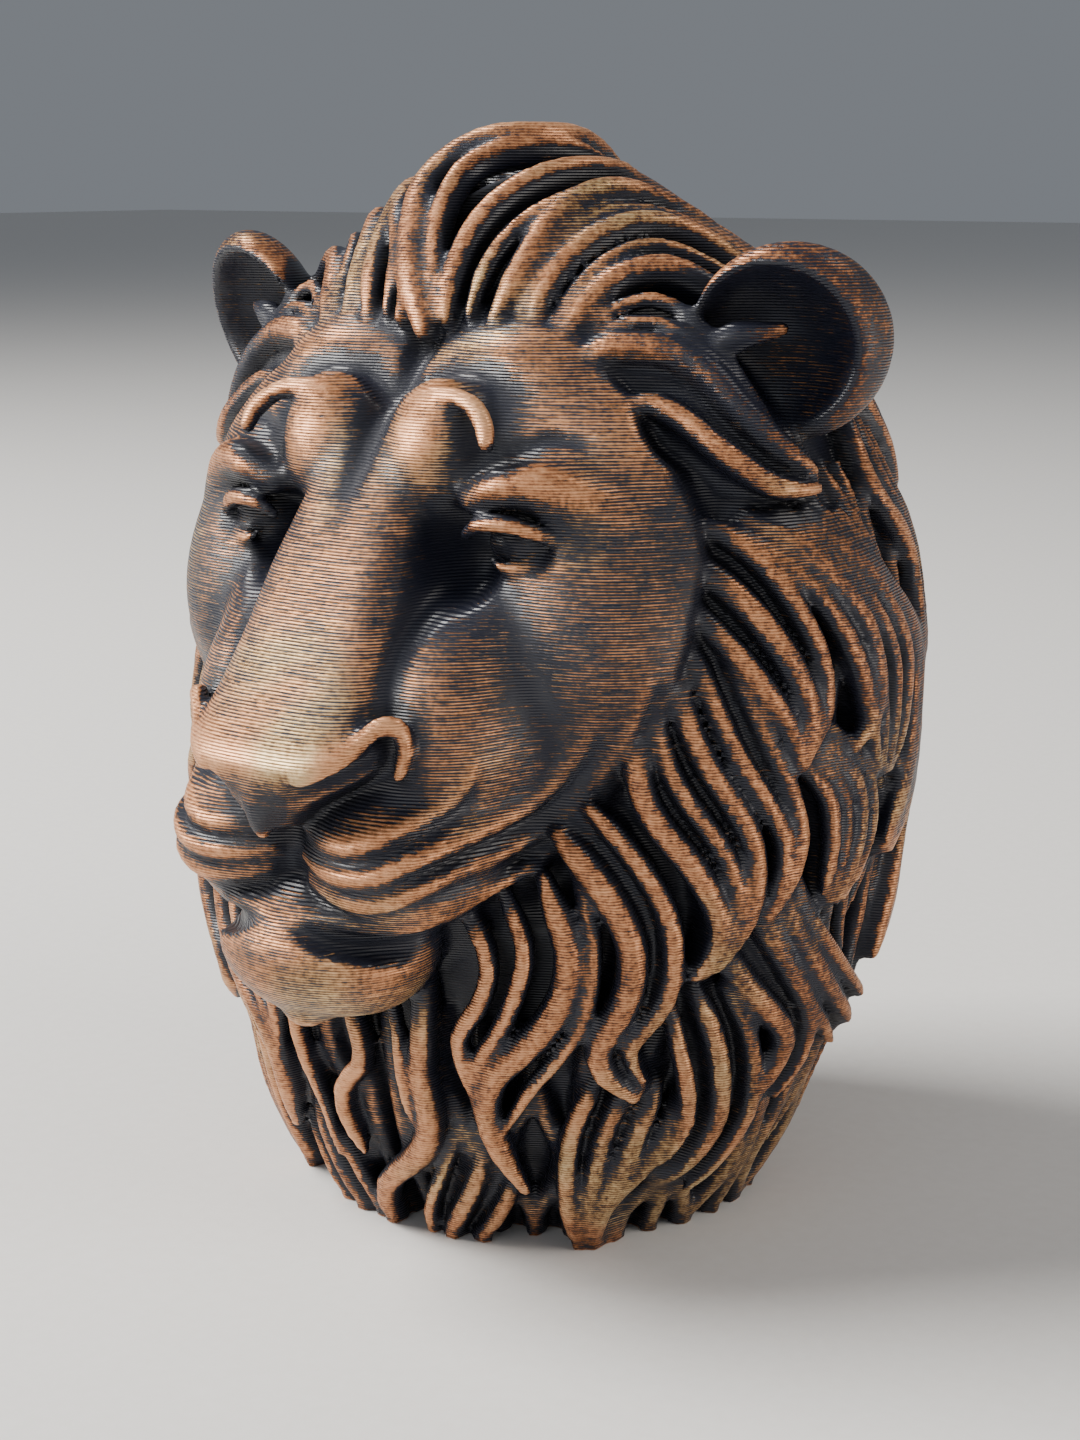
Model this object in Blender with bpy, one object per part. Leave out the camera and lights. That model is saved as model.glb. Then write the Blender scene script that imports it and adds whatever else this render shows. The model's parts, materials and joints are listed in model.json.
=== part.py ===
# Lion's head, made as one solid piece that stands on a flat neck.
# Lengths are millimetres until the last step. X is the lion's left, -Y its face, Z up.
import math

import bmesh
import bpy
import numpy as np

# fineness of the sculpting grid and of the finished surface
cellSize = 0.6
triangleGoal = 9600

# height at which the neck is cut flat, and up to which its sides are straight
neckCut = 0.13
neckStraight = 0.75

# share of each neighbour that goes into a place when the surface is rubbed smooth
rubbing = 0.14

# block of space that holds the head
boxLow = (-33.0, -37.0, -3.0)
boxHigh = (33.0, 31.0, 83.0)

# mane: an egg about this height, with these half widths
manePole = 42.0
maneWide = 28.4
maneBack = 24.2
maneUp = 36.3
maneDown = 55.0
maneSunk = 2.6
maneFrontLevels = (-70, -35, -10, 20, 45, 70, 90)
maneFrontDepths = (25.0, 25.0, 22.0, 19.5, 18.0, 19.0, 21.0)

# how far the crown falls at its sides and behind
sideFall = 2.6
backFall = 0.8

# face: height, half width, front, back
faceRows = (
    (66.5, 13.0, -11.5, 10.0),
    (63.5, 17.4, -14.8, 10.0),
    (60.0, 20.0, -18.0, 10.0),
    (56.0, 22.0, -20.0, 10.0),
    (50.0, 23.5, -20.4, 10.0),
    (44.0, 23.5, -20.8, 10.0),
    (38.0, 21.5, -21.0, 10.0),
    (32.0, 17.5, -20.8, 10.0),
    (27.0, 12.5, -19.5, 8.0),
)

# bridge and tip of the nose: height, half width, front, back
noseRows = (
    (61.0, 3.6, -18.0, -8.0),
    (57.5, 4.4, -20.6, -8.0),
    (54.0, 5.4, -22.8, -8.0),
    (50.0, 6.2, -25.4, -10.0),
    (46.0, 6.6, -27.7, -12.0),
    (42.5, 7.0, -30.0, -14.0),
    (39.8, 7.5, -32.0, -16.0),
    (38.4, 7.6, -33.3, -18.0),
    (37.2, 6.6, -32.9, -18.0),
    (35.6, 3.8, -31.9, -18.0),
    (33.6, 1.8, -31.4, -18.0),
)

earCentre = (23.2, -4.0, 64.6)
earSize = (6.9, 4.0, 6.9)
earHollow = (23.6, -7.7, 63.8)
earHollowSize = (5.8, 6.3, 5.8)
earTurn = (18, 0, 34)

# a lock is a fan of ridges: (azimuth, elevation) stations of its first and last ridge from
# root to tip, how many ridges, and their thickness. One ridge has no last one.
crownLocks = (
    (((8, 59.5), (8, 65), (13, 71), (38, 77), (75, 79), (115, 77)), None, 1, 0.95),
    (((15, 60), (19, 66), (31, 71), (57, 74), (88, 75), (112, 69)), None, 1, 0.7),
    (((23, 59.5), (30, 65), (42, 71), (67, 74), (95, 71), (112, 63)), None, 1, 1.1),
    (((29, 58.5), (34, 64), (46, 69), (68, 71), (90, 67), (104, 59)), None, 1, 0.62),
    (((33, 58), (38, 63), (50, 67), (68, 68), (84, 65), (98, 56)), None, 1, 1.05),
    (((38, 56), (45, 61), (56, 64), (69, 64), (80, 60), (92, 52)), None, 1, 0.65),
    (((40, 55), (48, 59), (58, 61), (69, 60), (78, 55), (86, 48)), None, 1, 1.05),
)

# the blade of hair that rises from the middle of the brow: stations, thickness
bladeLocks = (
    (((2, 58), (-6, 64), (-16, 70), (-26, 75), (-20, 81), (40, 85), (150, 80)), 1.15),
    (((5, 60), (0, 66), (-6, 72), (-6, 78), (30, 83), (100, 82)), 0.8),
    (((-4, 60), (-19, 67), (-40, 72), (-60, 75), (-90, 76)), 0.75),
)
templeLocks = (
    (((47, 56), (56, 57), (63, 56), (68, 52), (71.5, 45), (74, 38), (76, 34)),
     ((52, 45), (58, 42), (63, 38), (66, 34.5), (70, 30.5), (75, 27.5), (80, 27)), 2, 0.5),
    (((49, 54.5), (57, 54.3), (63, 52.2), (67.4, 48.5), (70.5, 43), (72, 38)), None, 1, 0.55),
    (((44, 51.6), (50, 52), (56, 51), (62.5, 48.6), (67.4, 44.4), (70.6, 39), (75, 33), (80, 28.7)),
     None, 1, 0.95),
    (((52.8, 44.3), (58.3, 42.5), (62.7, 38.8), (65.6, 35), (69.3, 31.2), (73.6, 27.8), (80, 26.5)),
     None, 1, 0.8),
)
beardLocks = (
    (((22, -31), (27, -37), (26, -42), (22, -46), (22, -49), (24, -53)), None, 1, 0.72),
    (((29, -29), (33, -35), (32, -40), (29, -45), (25, -49), (24, -54)), None, 1, 0.72),
    (((18, -58), (13, -63), (9, -66), (8, -69), (12, -71)),
     ((31, -61), (27, -65), (21, -68), (13, -71)), 3, 0.7),
)

# locks of the beard's middle, each on one side only: stations, thickness
loneLocks = (
    (((-3, -44), (-1, -49), (0, -52), (-6, -55), (-8, -58), (-5, -62)), 0.72),
    (((7, -43), (9, -48), (9, -52), (10, -57)), 0.5),
    (((15, -40), (14, -48), (13, -52), (14, -56), (11, -60), (0, -64), (-4, -67), (-1, -71)), 0.9),
    (((-16, -40), (-18, -47), (-17, -53), (-14, -58), (-15, -63)), 0.6),
)
sideLocks = (
    (((90, 23), (94, 14), (102, 7), (111, 0), (113, -8), (108, -17), (98, -26)),
     ((76, 25), (82, 20), (92, 13), (99, 6), (103, -2), (102, -12), (95, -24)), 5, 0.75),
    (((74, 25), (80, 21), (88, 15), (94, 8), (98, 1), (97, -7), (94, -14)),
     ((66, 24), (72, 19), (78, 13), (83, 5), (86, -2), (88, -9), (90, -13)), 4, 0.72),
    (((75, -2), (83, -8), (88, -13), (90, -19), (89, -24), (84, -30)),
     ((71, -6), (76, -11), (80, -16), (81, -22), (80, -28)), 4, 0.62),
    (((74, -22), (77, -28), (81, -33), (89, -39), (102, -45)),
     ((69, -25), (72, -31), (76, -37), (82, -42), (92, -48)), 3, 0.85),
    (((67, -26), (71, -32), (77, -38), (82, -43), (83, -47), (79, -52)),
     ((62, -32), (67, -37), (74, -42), (78, -45), (77, -48), (73, -52)), 2, 0.85),
    (((66, -39), (71, -44), (73, -48), (74, -53), (71, -57), (65, -61)),
     ((56, -40), (59, -46), (61, -50), (62, -54), (58, -58)), 3, 0.8),
    (((62, -50), (59, -55), (55, -59), (50, -62), (47, -65)),
     ((46, -50), (42, -55), (41, -59), (42, -64), (47, -68), (52, -69)), 4, 0.8),
    (((41, -26), (44, -34), (43, -42), (39, -47), (34, -51), (29, -56)), None, 1, 0.62),
    (
        ((36, -27), (40, -35), (39, -41), (34, -46), (28, -50), (26, -54), (28, -58), (33, -62)),
        None, 1, 0.95,
    ),
    (((38, -21), (44, -26), (49, -32), (50, -37), (48, -42), (45, -45), (46, -48), (52, -51)),
     ((43, -17), (49, -22), (54, -28), (56, -34), (55, -40), (51, -44), (50, -46), (53, -49)), 2, 0.95),
    (((50, -5), (51, -14), (54, -19), (58, -23), (61, -27), (63, -31), (62, -34), (59, -37)),
     ((55, 8), (57, -1), (60, -9), (64, -15), (67, -20), (68, -25), (67, -30), (63, -36)), 3, 0.85),
    (((58, 9), (62, -2), (65, -9), (69, -15), (72, -20), (72, -25), (70, -30)),
     ((63, 8), (67, -1), (70, -8), (73, -14), (75, -20), (74, -25), (71, -30)), 2, 0.72),
    (((57, 15), (62, 9.7), (66, 4.8), (70, -1), (73, -6), (74, -11)),
     ((59, 26), (64.5, 23.7), (70, 18.5), (74.5, 11), (77.5, 4), (78, -3), (75.5, -9)), 3, 0.9),
    (((70, 25), (76, 20.9), (81, 14.8), (86, 7.9), (88, 2), (88, -4), (84, -9)), None, 1, 0.8),
)

# how much bolder and fewer the ridges are than the finest carving, and how uneven
boldness = 1.28
mostRidges = 3
uneven = 0.14

# how far a lock stands off the mane at its root, middle and tip
sideLift = (-0.9, 0.2, 0.6)
crownLift = (0.0, 0.3, -0.4)
bladeLift = (0.1, 0.6, -0.2)
templeLift = (0.1, 1.1, 1.0)
napeLift = (-1.6, -0.8, -1.6)
backLift = (-1.6, -0.5, -0.3)

# how far the body of a lock lies under its ridges, as a share of their thickness
lockDip = 0.7

# locks round the neck: how many, their spacing and their sway, in degrees
napeCount = 13
napeStep = 14
napeSway = 4
napeThick = 1.4

# locks down the back: elevation of each tier, azimuth where a tier starts, spacing
backTiers = (64, 44, 24, 3, -18)
backStart = 110
backStep = 11
topStart = 104
topStep = 20
backLocksInTier = 8
backEnd = 186
backSway = 7
backStagger = 6
backThick = 2.0


class Clay:
    """block of space holding the distance to the surface, negative inside"""

    def __init__(self, cell):
        self.cell = cell
        self.low = np.array(boxLow)
        counts = np.ceil((np.array(boxHigh) - self.low) / cell).astype(int) + 1
        self.line = [(self.low[i] + cell * np.arange(counts[i])).astype(np.float32) for i in range(3)]
        self.field = np.full(counts, 6.0, np.float32)

    def window(self, low, high):
        spans = []
        for i in range(3):
            first = max(0, int(math.floor((low[i] - self.low[i]) / self.cell)))
            last = int(math.ceil((high[i] - self.low[i]) / self.cell)) + 1
            spans.append(slice(first, max(first, min(self.field.shape[i], last))))
        spans = tuple(spans)
        x = self.line[0][spans[0]][:, None, None]
        y = self.line[1][spans[1]][None, :, None]
        z = self.line[2][spans[2]][None, None, :]
        return spans, x, y, z

    def put(self, spans, shape, soft, hollow):
        if hollow:
            self.field[spans] = -softLow(-self.field[spans], shape, soft)
        else:
            self.field[spans] = softLow(self.field[spans], shape, soft)


def softLow(a, b, soft):
    if soft <= 0:
        return np.minimum(a, b)
    share = np.clip(0.5 + 0.5 * (b - a) / soft, 0, 1)
    return b + (a - b) * share - soft * share * (1 - share)


def turned(tilt):
    ax, ay, az = np.radians(tilt)
    rx = np.array([[1, 0, 0], [0, math.cos(ax), -math.sin(ax)], [0, math.sin(ax), math.cos(ax)]])
    ry = np.array([[math.cos(ay), 0, math.sin(ay)], [0, 1, 0], [-math.sin(ay), 0, math.cos(ay)]])
    rz = np.array([[math.cos(az), -math.sin(az), 0], [math.sin(az), math.cos(az), 0], [0, 0, 1]])
    return rz @ ry @ rx


def egg(clay, centre, size, tilt=(0, 0, 0), soft=2.0, hollow=False, pair=False):
    reach = max(size) + soft + 2
    for side in (1, -1) if pair else (1,):
        c = np.array(centre, float) * (side, 1, 1)
        m = turned((tilt[0], tilt[1] * side, tilt[2] * side)).T
        spans, x, y, z = clay.window(c - reach, c + reach)
        dx, dy, dz = x - c[0], y - c[1], z - c[2]
        u, v, w = ((m[i, 0] * dx + m[i, 1] * dy + m[i, 2] * dz) / size[i] for i in range(3))
        clay.put(spans, eggDistance(u, v, w, size), soft, hollow)


def eggDistance(u, v, w, size):
    near = np.sqrt(u * u + v * v + w * w)
    slope = np.sqrt((u / size[0]) ** 2 + (v / size[1]) ** 2 + (w / size[2]) ** 2)
    return (near * (near - 1) / np.maximum(slope, 1e-6)).astype(np.float32)


def rope(clay, points, widths, soft=0.4, hollow=False, pair=False):
    """run of round lengths through the points"""
    points = np.asarray(points, float)
    widths = np.asarray(widths, float) * np.ones(len(points))
    reach = soft + 0.8
    for side in (1, -1) if pair else (1,):
        line = points * (side, 1, 1)
        most = widths.max() + reach + 2 * clay.cell
        spans, x, y, z = clay.window(line.min(0) - most, line.max(0) + most)
        shape = np.full([s.stop - s.start for s in spans], 6.0, np.float32)
        if 0 in shape.shape:
            continue
        for p, q, r0, r1 in zip(line[:-1], line[1:], widths[:-1], widths[1:]):
            pad = max(r0, r1) + reach
            inner, sx, sy, sz = clay.window(np.minimum(p, q) - pad, np.maximum(p, q) + pad)
            axis = q - p
            length = float(axis @ axis)
            if length < 1e-9 or min(s.stop - s.start for s in inner) <= 0:
                continue
            local = tuple(slice(i.start - o.start, i.stop - o.start) for i, o in zip(inner, spans))
            dx, dy, dz = sx - p[0], sy - p[1], sz - p[2]
            t = np.clip((dx * axis[0] + dy * axis[1] + dz * axis[2]) / length, 0, 1)
            away = (dx - t * axis[0]) ** 2 + (dy - t * axis[1]) ** 2 + (dz - t * axis[2]) ** 2
            shape[local] = np.minimum(shape[local], np.sqrt(away) - (r0 + (r1 - r0) * t))
        clay.put(spans, shape, soft, hollow)


def smoothLine(points, steps):
    """even curve through the points"""
    p = np.asarray(points, float)
    p = np.vstack([2 * p[0] - p[1], p, 2 * p[-1] - p[-2]])
    out = []
    for a, b, c, d in zip(p[:-3], p[1:-2], p[2:-1], p[3:]):
        for s in np.linspace(0, 1, steps, endpoint=False):
            turn = (2 * a - 5 * b + 4 * c - d) * s * s + (3 * b - a - 3 * c + d) * s**3
            out.append(0.5 * (2 * b + (c - a) * s + turn))
    out.append(p[-2])
    return np.array(out)


def eased(at, xs, ys, blur):
    """soft curve through a few levels"""
    dense = np.linspace(min(xs) - 4 * blur, max(xs) + 4 * blur, 600)
    order = np.argsort(xs)
    raw = np.interp(dense, np.asarray(xs, float)[order], np.asarray(ys, float)[order])
    step = dense[1] - dense[0]
    reach = int(3 * blur / step)
    kernel = np.exp(-0.5 * (np.arange(-reach, reach + 1) * step / blur) ** 2)
    soft = np.convolve(np.pad(raw, reach, mode="edge"), kernel / kernel.sum(), mode="valid")
    return np.interp(at, dense, soft)


def loft(clay, rows, soft, power, blur):
    """stack of rounded sections"""
    rows = np.array(rows, float)
    low = (-rows[:, 1].max() - 3, rows[:, 2].min() - 3, rows[:, 0].min() - 3)
    high = (rows[:, 1].max() + 3, rows[:, 3].max() + 3, rows[:, 0].max() + 3)
    spans, x, y, z = clay.window(low, high)
    wide, front, back = (eased(z, rows[:, 0], rows[:, i], blur) for i in (1, 2, 3))
    mid, deep = (front + back) / 2, (back - front) / 2
    near = ((np.abs(x) / wide) ** power + (np.abs(y - mid) / deep) ** power) ** (1 / power)
    ends = np.maximum(rows[:, 0].min() - z, z - rows[:, 0].max())
    shape = np.maximum((near - 1) * np.minimum(wide, deep), ends)
    clay.put(spans, shape.astype(np.float32), soft, False)


def frontOf(clay, x, z):
    """y of the surface met from the front at each (x, z)"""
    out = []
    for a, c in zip(x, z):
        i, k = (a - clay.low[0]) / clay.cell, (c - clay.low[2]) / clay.cell
        i0, k0 = int(i), int(k)
        fi, fk = i - i0, k - k0
        near = (1 - fi) * clay.field[i0, :, k0] + fi * clay.field[i0 + 1, :, k0]
        far = (1 - fi) * clay.field[i0, :, k0 + 1] + fi * clay.field[i0 + 1, :, k0 + 1]
        column = (1 - fk) * near + fk * far
        j = int(np.argmax(column < 0))
        out.append(clay.low[1] + clay.cell * (j - 1 + column[j - 1] / (column[j - 1] - column[j])))
    return np.array(out)


def stroke(clay, spots, out, widths, soft=0.5, hollow=False, pair=True):
    """ridge or groove drawn over the face: spots are (x, z), out its height over the surface"""
    line = smoothLine([(x, 0, z) for x, z in spots], 5)
    depth = frontOf(clay, line[:, 0], line[:, 2])
    depth = np.convolve(np.pad(depth, 2, mode="edge"), [0.1, 0.25, 0.3, 0.25, 0.1], mode="valid")
    share = np.linspace(0, 1, len(line))
    line[:, 1] = depth - np.interp(share, np.linspace(0, 1, len(out)), out)
    thick = np.interp(share, np.linspace(0, 1, len(widths)), widths)
    rope(clay, line, thick, soft, hollow, pair)


def limb(clay, spots, widths, soft, hollow=False, pair=True):
    """rope through a few places, its width changing evenly"""
    line = smoothLine(spots, 5)
    thick = np.interp(np.linspace(0, 1, len(line)), np.linspace(0, 1, len(widths)), widths)
    rope(clay, line, thick, soft, hollow, pair)


def maneFront(el):
    return eased(el, maneFrontLevels, maneFrontDepths, 8.0)


def maneTop(acrossShare, backShare):
    # the crown falls away to the sides and a little to the back
    fall = sideFall * np.clip(np.abs(acrossShare) / 0.3, 0, 1) ** 1.5
    return maneUp - fall - backFall * np.clip(backShare / 0.3, 0, 1)


def maneBody(clay):
    spans, x, y, z = clay.window(boxLow, boxHigh)
    dz = z - manePole
    el = np.degrees(np.arctan2(dz, np.maximum(np.sqrt(x * x + y * y), 1e-3)))
    deep = np.where(y < 0, maneFront(el).astype(np.float32), maneBack) - maneSunk
    far = np.maximum(np.sqrt(x * x + y * y + dz * dz), 1e-3)
    tall = np.where(dz > 0, maneTop(x / far, y / far), maneDown).astype(np.float32) - maneSunk
    wide = maneWide - maneSunk
    clay.put(spans, eggDistance(x / wide, y / deep, dz / tall, (wide, deep, tall)), 0, False)


def onMane(d):
    # places on the mane's outer form, and the way outwards there
    el = np.degrees(np.arcsin(np.clip(d[:, 2], -1, 1)))
    deep = np.where(d[:, 1] < 0, maneFront(el), maneBack)
    tall = np.where(d[:, 2] > 0, maneTop(d[:, 0], d[:, 1]), maneDown)
    size = np.stack([np.full(len(d), maneWide), deep, tall], 1)
    near = np.linalg.norm(d / size, axis=1)
    normal = d / size**2
    normal /= np.linalg.norm(normal, axis=1)[:, None]
    return d / near[:, None] + (0, 0, manePole), normal


def trail(stations):
    # directions through (azimuth, elevation) stations, evenly spaced
    az, el = np.radians(np.asarray(stations, float)).T
    ways = np.stack([np.cos(el) * np.sin(az), -np.cos(el) * np.cos(az), np.sin(el)], 1)
    line = smoothLine(ways, 12)
    line /= np.linalg.norm(line, axis=1)[:, None]
    gone = np.concatenate([[0], np.cumsum(np.linalg.norm(np.diff(line, axis=0), axis=1))])
    at = np.linspace(0, gone[-1], max(6, int(round(gone[-1] * 27))))
    line = np.stack([np.interp(at, gone, line[:, i]) for i in range(3)], 1)
    return line / np.linalg.norm(line, axis=1)[:, None]


def lock(clay, first, last, count, thick, rise=sideLift, mirror=True):
    # ridges that fan out between two edges, over a lower rounded body, each to its own tip
    ways = [trail(first), trail(last)]
    share = np.linspace(0, 1, max(len(way) for way in ways))
    edges = []
    for way in ways:
        own = np.linspace(0, 1, len(way))
        edges.append(np.stack([np.interp(share, own, way[:, i]) for i in range(3)], 1))
    lift = np.interp(share, (0, 0.5, 1), rise)
    fat = np.interp(share, (0, 0.12, 0.6, 0.88, 1), (0.55, 0.95, 1, 0.8, 0.35)) * thick
    lines = []
    ups = []
    for i in range(count):
        u = i / max(count - 1, 1)
        way = edges[0] * (1 - u) + edges[1] * u
        place, normal = onMane(way / np.linalg.norm(way, axis=1)[:, None])
        lines.append(place + normal * lift[:, None])
        ups.append(normal)
        bold = 1 + uneven * math.sin(2.4 * i + len(first))
        rope(clay, lines[-1], fat * bold, 0.25, pair=mirror)
        rope(clay, lines[-1] - normal * fat[:, None] * 0.6, fat * bold, 0.25, pair=mirror)
    middle = (lines[0] + lines[-1]) / 2
    up = (ups[0] + ups[-1]) / 2
    bulk = np.linalg.norm(lines[0] - lines[-1], axis=1) / 2 + fat * 0.6
    rope(clay, middle - up * (bulk + lockDip * fat)[:, None], bulk, 0.7, pair=mirror)


def faceMasses(clay):
    loft(clay, faceRows, 2.5, 2.6, 2.5)
    egg(clay, (14.5, -12.2, 46.0), (6.6, 7.4, 8), (0, -10, 0), 3, pair=True)      # cheek
    egg(clay, (6.6, -18.6, 39.5), (6.4, 8.4, 9.5), (-20, 0, 16), 3, pair=True)    # muzzle
    egg(clay, (5.2, -22.6, 31.4), (6.7, 8.4, 5.6), (0, 4, 24), 2, pair=True)      # lip pad
    egg(clay, (8.6, -17.0, 44.0), (3.6, 5.6, 4.6), (-10, 0, 10), 2, pair=True)
    egg(clay, (8.0, -22.0, 51.4), (2.0, 4.2, 3.2), (0, -8, 0), 1.8, hollow=True, pair=True)
    loft(clay, noseRows, 0.7, 3.6, 0.8)
    slit = (
        (7.4, -21.4, 50.5), (7.3, -22.8, 48.4), (7.1, -24.9, 46.0), (7.2, -27.0, 43.6),
        (7.4, -29.0, 41.6),
    )
    limb(clay, slit, (1.6, 1.1, 0.6, 0.45, 0.35), 1.0, True)
    egg(clay, (4.6, -16.1, 57.4), (4.2, 5.3, 5.4), (0, 8, 0), 0.9, pair=True)     # brow
    egg(clay, (7.0, -10.6, 61.6), (6.4, 5.9, 4.3), soft=1.4, pair=True)           # forehead
    egg(clay, (0, -25.4, 24.4), (7.4, 6.2, 5.2), soft=1.0)                        # chin
    egg(clay, (3.6, -24.6, 24.6), (4.4, 5.4, 4.6), soft=1.0, pair=True)
    egg(clay, (0, -16, 26.5), (11, 7, 5), soft=1.2)


def brow(clay):
    middle = ((0, 64.6), (0, 62.6), (0, 60.0), (0, 57.0), (0, 53.4))
    stroke(clay, middle, (0.1, 0.0, 0.0, 0.1, 0.9), (1.3, 1.0, 0.95, 0.8, 0.4), 1.0, True, False)
    # valley between forehead and brow
    valley = ((1.0, 61.0), (3.0, 62.5), (5.6, 63.0), (8.0, 62.6), (10.0, 61.6))
    stroke(clay, valley, (0.2, 0.2, 0.6), (0.4, 0.7, 0.7, 0.6, 0.5), 1.4, True)
    # the hooked ridge over each brow
    limb(clay, ((8.3, -21.4, 60.2), (9.2, -21.3, 58.6), (9.6, -21.0, 57.0)), (0.5, 1.0, 0.9), 0.5, True)
    hook = (
        (2.2, -18.9, 60.0), (4.0, -19.4, 61.0), (6.2, -19.5, 61.4), (8.4, -19.5, 60.9),
        (9.9, -20.1, 59.7), (10.4, -20.5, 58.6),
    )
    limb(clay, hook, (0.3, 0.5, 0.62, 0.7, 0.7, 0.6), 0.4)


def eyes(clay):
    egg(clay, (8.2, -20.6, 51.2), (2.2, 4.2, 3.0), (0, -10, 0), 1.6, hollow=True, pair=True)
    egg(clay, (8.6, -22.6, 57.6), (1.0, 2.0, 1.3), soft=0.6, hollow=True, pair=True)
    egg(clay, (11.4, -20.4, 52.2), (3.9, 3.4, 2.2), (0, 6, -20), 0.6, hollow=True, pair=True)
    egg(clay, (11.2, -16.6, 51.9), (2.8, 2.8, 2.0), soft=0.2, pair=True)
    fold = (
        (8.9, -19.8, 54.7), (11.0, -20.0, 55.7), (13.4, -18.9, 55.9), (15.6, -17.4, 55.0),
        (17.4, -15.6, 53.6),
    )
    limb(clay, fold, (0.7, 1.1, 1.2, 1.0, 0.6), 2.2)
    crease = ((8.8, -20.9, 53.9), (11.0, -21.2, 54.7), (13.4, -20.2, 54.6), (15.4, -18.6, 53.5))
    limb(clay, crease, (0.3, 0.5, 0.5, 0.3), 0.25, True)
    upper = (
        (8.3, -20.1, 52.4), (9.8, -20.6, 53.2), (11.7, -20.3, 53.4), (13.5, -19.2, 52.8),
        (15.2, -17.6, 51.8),
    )
    limb(clay, upper, (0.4, 0.6, 0.65, 0.6, 0.3), 0.3)
    lower = (
        (8.9, -19.9, 51.7), (10.2, -20.0, 50.9), (11.6, -19.7, 50.5), (13.0, -18.9, 50.8),
        (14.4, -17.8, 51.5),
    )
    limb(clay, lower, (0.15, 0.3, 0.42, 0.3, 0.1), 0.8)
    stroke(clay, ((10.8, 58.0), (12.6, 58.7), (15.0, 58.4)), (0.0,), (0.3, 0.5, 0.3), 0.8, True)


def mouth(clay):
    lip = (
        (0, -31.4, 28.0), (2.0, -31.0, 27.1), (4.6, -29.6, 26.1), (7.4, -27.0, 25.6),
        (10.0, -24.2, 26.0), (12.4, -21.6, 27.2),
    )
    limb(clay, lip, (0.55, 0.8, 1.0, 1.1, 1.2, 0.5), 0.4, True)
    parting = ((0, -32.2, 34.0), (0, -31.9, 31.6), (0, -31.6, 28.2))
    limb(clay, parting, (0.35, 0.45, 0.5), 0.7, True, False)
    egg(clay, (0.2, -27.6, 19.7), (1.5, 1.3, 0.9), soft=0.8)


def whiskerFolds(clay):
    grooves = (
        ((1.2, 32.4), (4.4, 31.9), (8.0, 32.3), (10.8, 34.2), (12.2, 36.6)),
        ((1.2, 30.7), (4.6, 30.1), (8.6, 30.5), (12.2, 32.8), (15.0, 35.8), (17.4, 39.0)),
        ((1.8, 28.8), (5.6, 28.1), (9.0, 28.8), (12.8, 31.3), (16.2, 34.8), (19.0, 38.8), (20.8, 42.6)),
    )
    ridges = (
        ((1.4, 33.3), (5.0, 32.9), (8.2, 33.6), (10.6, 35.5), (12.0, 38.0)),
        ((1.6, 31.5), (5.0, 31.0), (8.8, 31.4), (12.2, 33.8), (14.6, 36.6), (16.4, 39.6)),
        ((2.0, 29.7), (6.0, 29.1), (9.2, 29.6), (12.8, 32.2), (16.0, 35.6), (18.6, 39.4), (20.2, 43.0)),
        ((3.4, 27.4), (8.6, 27.2), (12.4, 29.8), (16.0, 33.4), (19.0, 37.6), (21.0, 41.6)),
    )
    for spots in grooves:
        stroke(clay, spots, (0.2,), (0.35, 0.6, 0.65, 0.35), 0.4, True)
    for spots in ridges:
        stroke(clay, spots, (-0.35,), (0.45, 0.55, 0.6, 0.35), 0.7)


def nostrils(clay):
    hole = ((2.2, -32.8, 35.2), (3.8, -32.2, 35.9), (5.6, -30.6, 37.0), (7.3, -28.8, 38.6))
    limb(clay, hole, (0.4, 1.2, 1.25, 0.6), 0.4, True)
    septum = ((0, -31.2, 36.8), (0, -31.5, 35.2), (0, -31.3, 33.4))
    limb(clay, septum, (1.4, 1.0, 0.6), 0.5, pair=False)
    wing = (
        (4.2, -32.4, 37.4), (5.6, -31.2, 38.4), (7.0, -29.6, 40.0), (8.0, -28.6, 41.0),
        (8.8, -27.8, 40.8), (9.0, -27.4, 39.4), (8.6, -27.6, 37.6),
    )
    limb(clay, wing, (0.4, 0.6, 0.7, 0.7, 0.5), 0.4)
    limb(clay, ((6.7, -30.6, 41.6), (7.8, -29.2, 42.6), (9.2, -27.4, 42.2)), (0.3, 0.5, 0.3), 0.5, True)


def cheekRim(clay):
    rim = (
        (15.4, 63.0), (18.8, 60.0), (21.2, 56.0), (22.6, 52.0), (22.9, 48.0), (22.4, 43.5),
        (20.8, 39.0), (18.4, 35.0), (15.8, 31.2), (13.0, 27.6),
    )
    stroke(clay, rim, (0.0,), (1.6, 1.9, 1.7, 1.2, 0.9, 0.7), 1.8, True)


def ears(clay):
    egg(clay, earCentre, earSize, earTurn, 1.0, pair=True)
    egg(clay, earHollow, earHollowSize, earTurn, 0.8, hollow=True, pair=True)
    limb(clay, ((18.6, -7.4, 63.8), (20.6, -6.6, 65.0), (23.4, -5.0, 65.6)), (0.8, 1.1, 0.5), 0.5)
    # dark gap between the ear and the hair of the temple
    egg(clay, (19.8, -9.4, 60.2), (3.8, 4.6, 3.8), soft=0.8, hollow=True, pair=True)


def napeLocks(clay):
    """bold locks hanging to the neck, all round"""
    for i in range(napeCount):
        az = napeStep / 2 + napeStep * i
        sway = napeSway * math.sin(i * 2.1)
        stations = ((az, -42), (az + sway, -50), (az - sway, -58), (az + sway, -70))
        if az < 180:
            lock(clay, stations, stations, 1, napeThick, napeLift)


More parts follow.
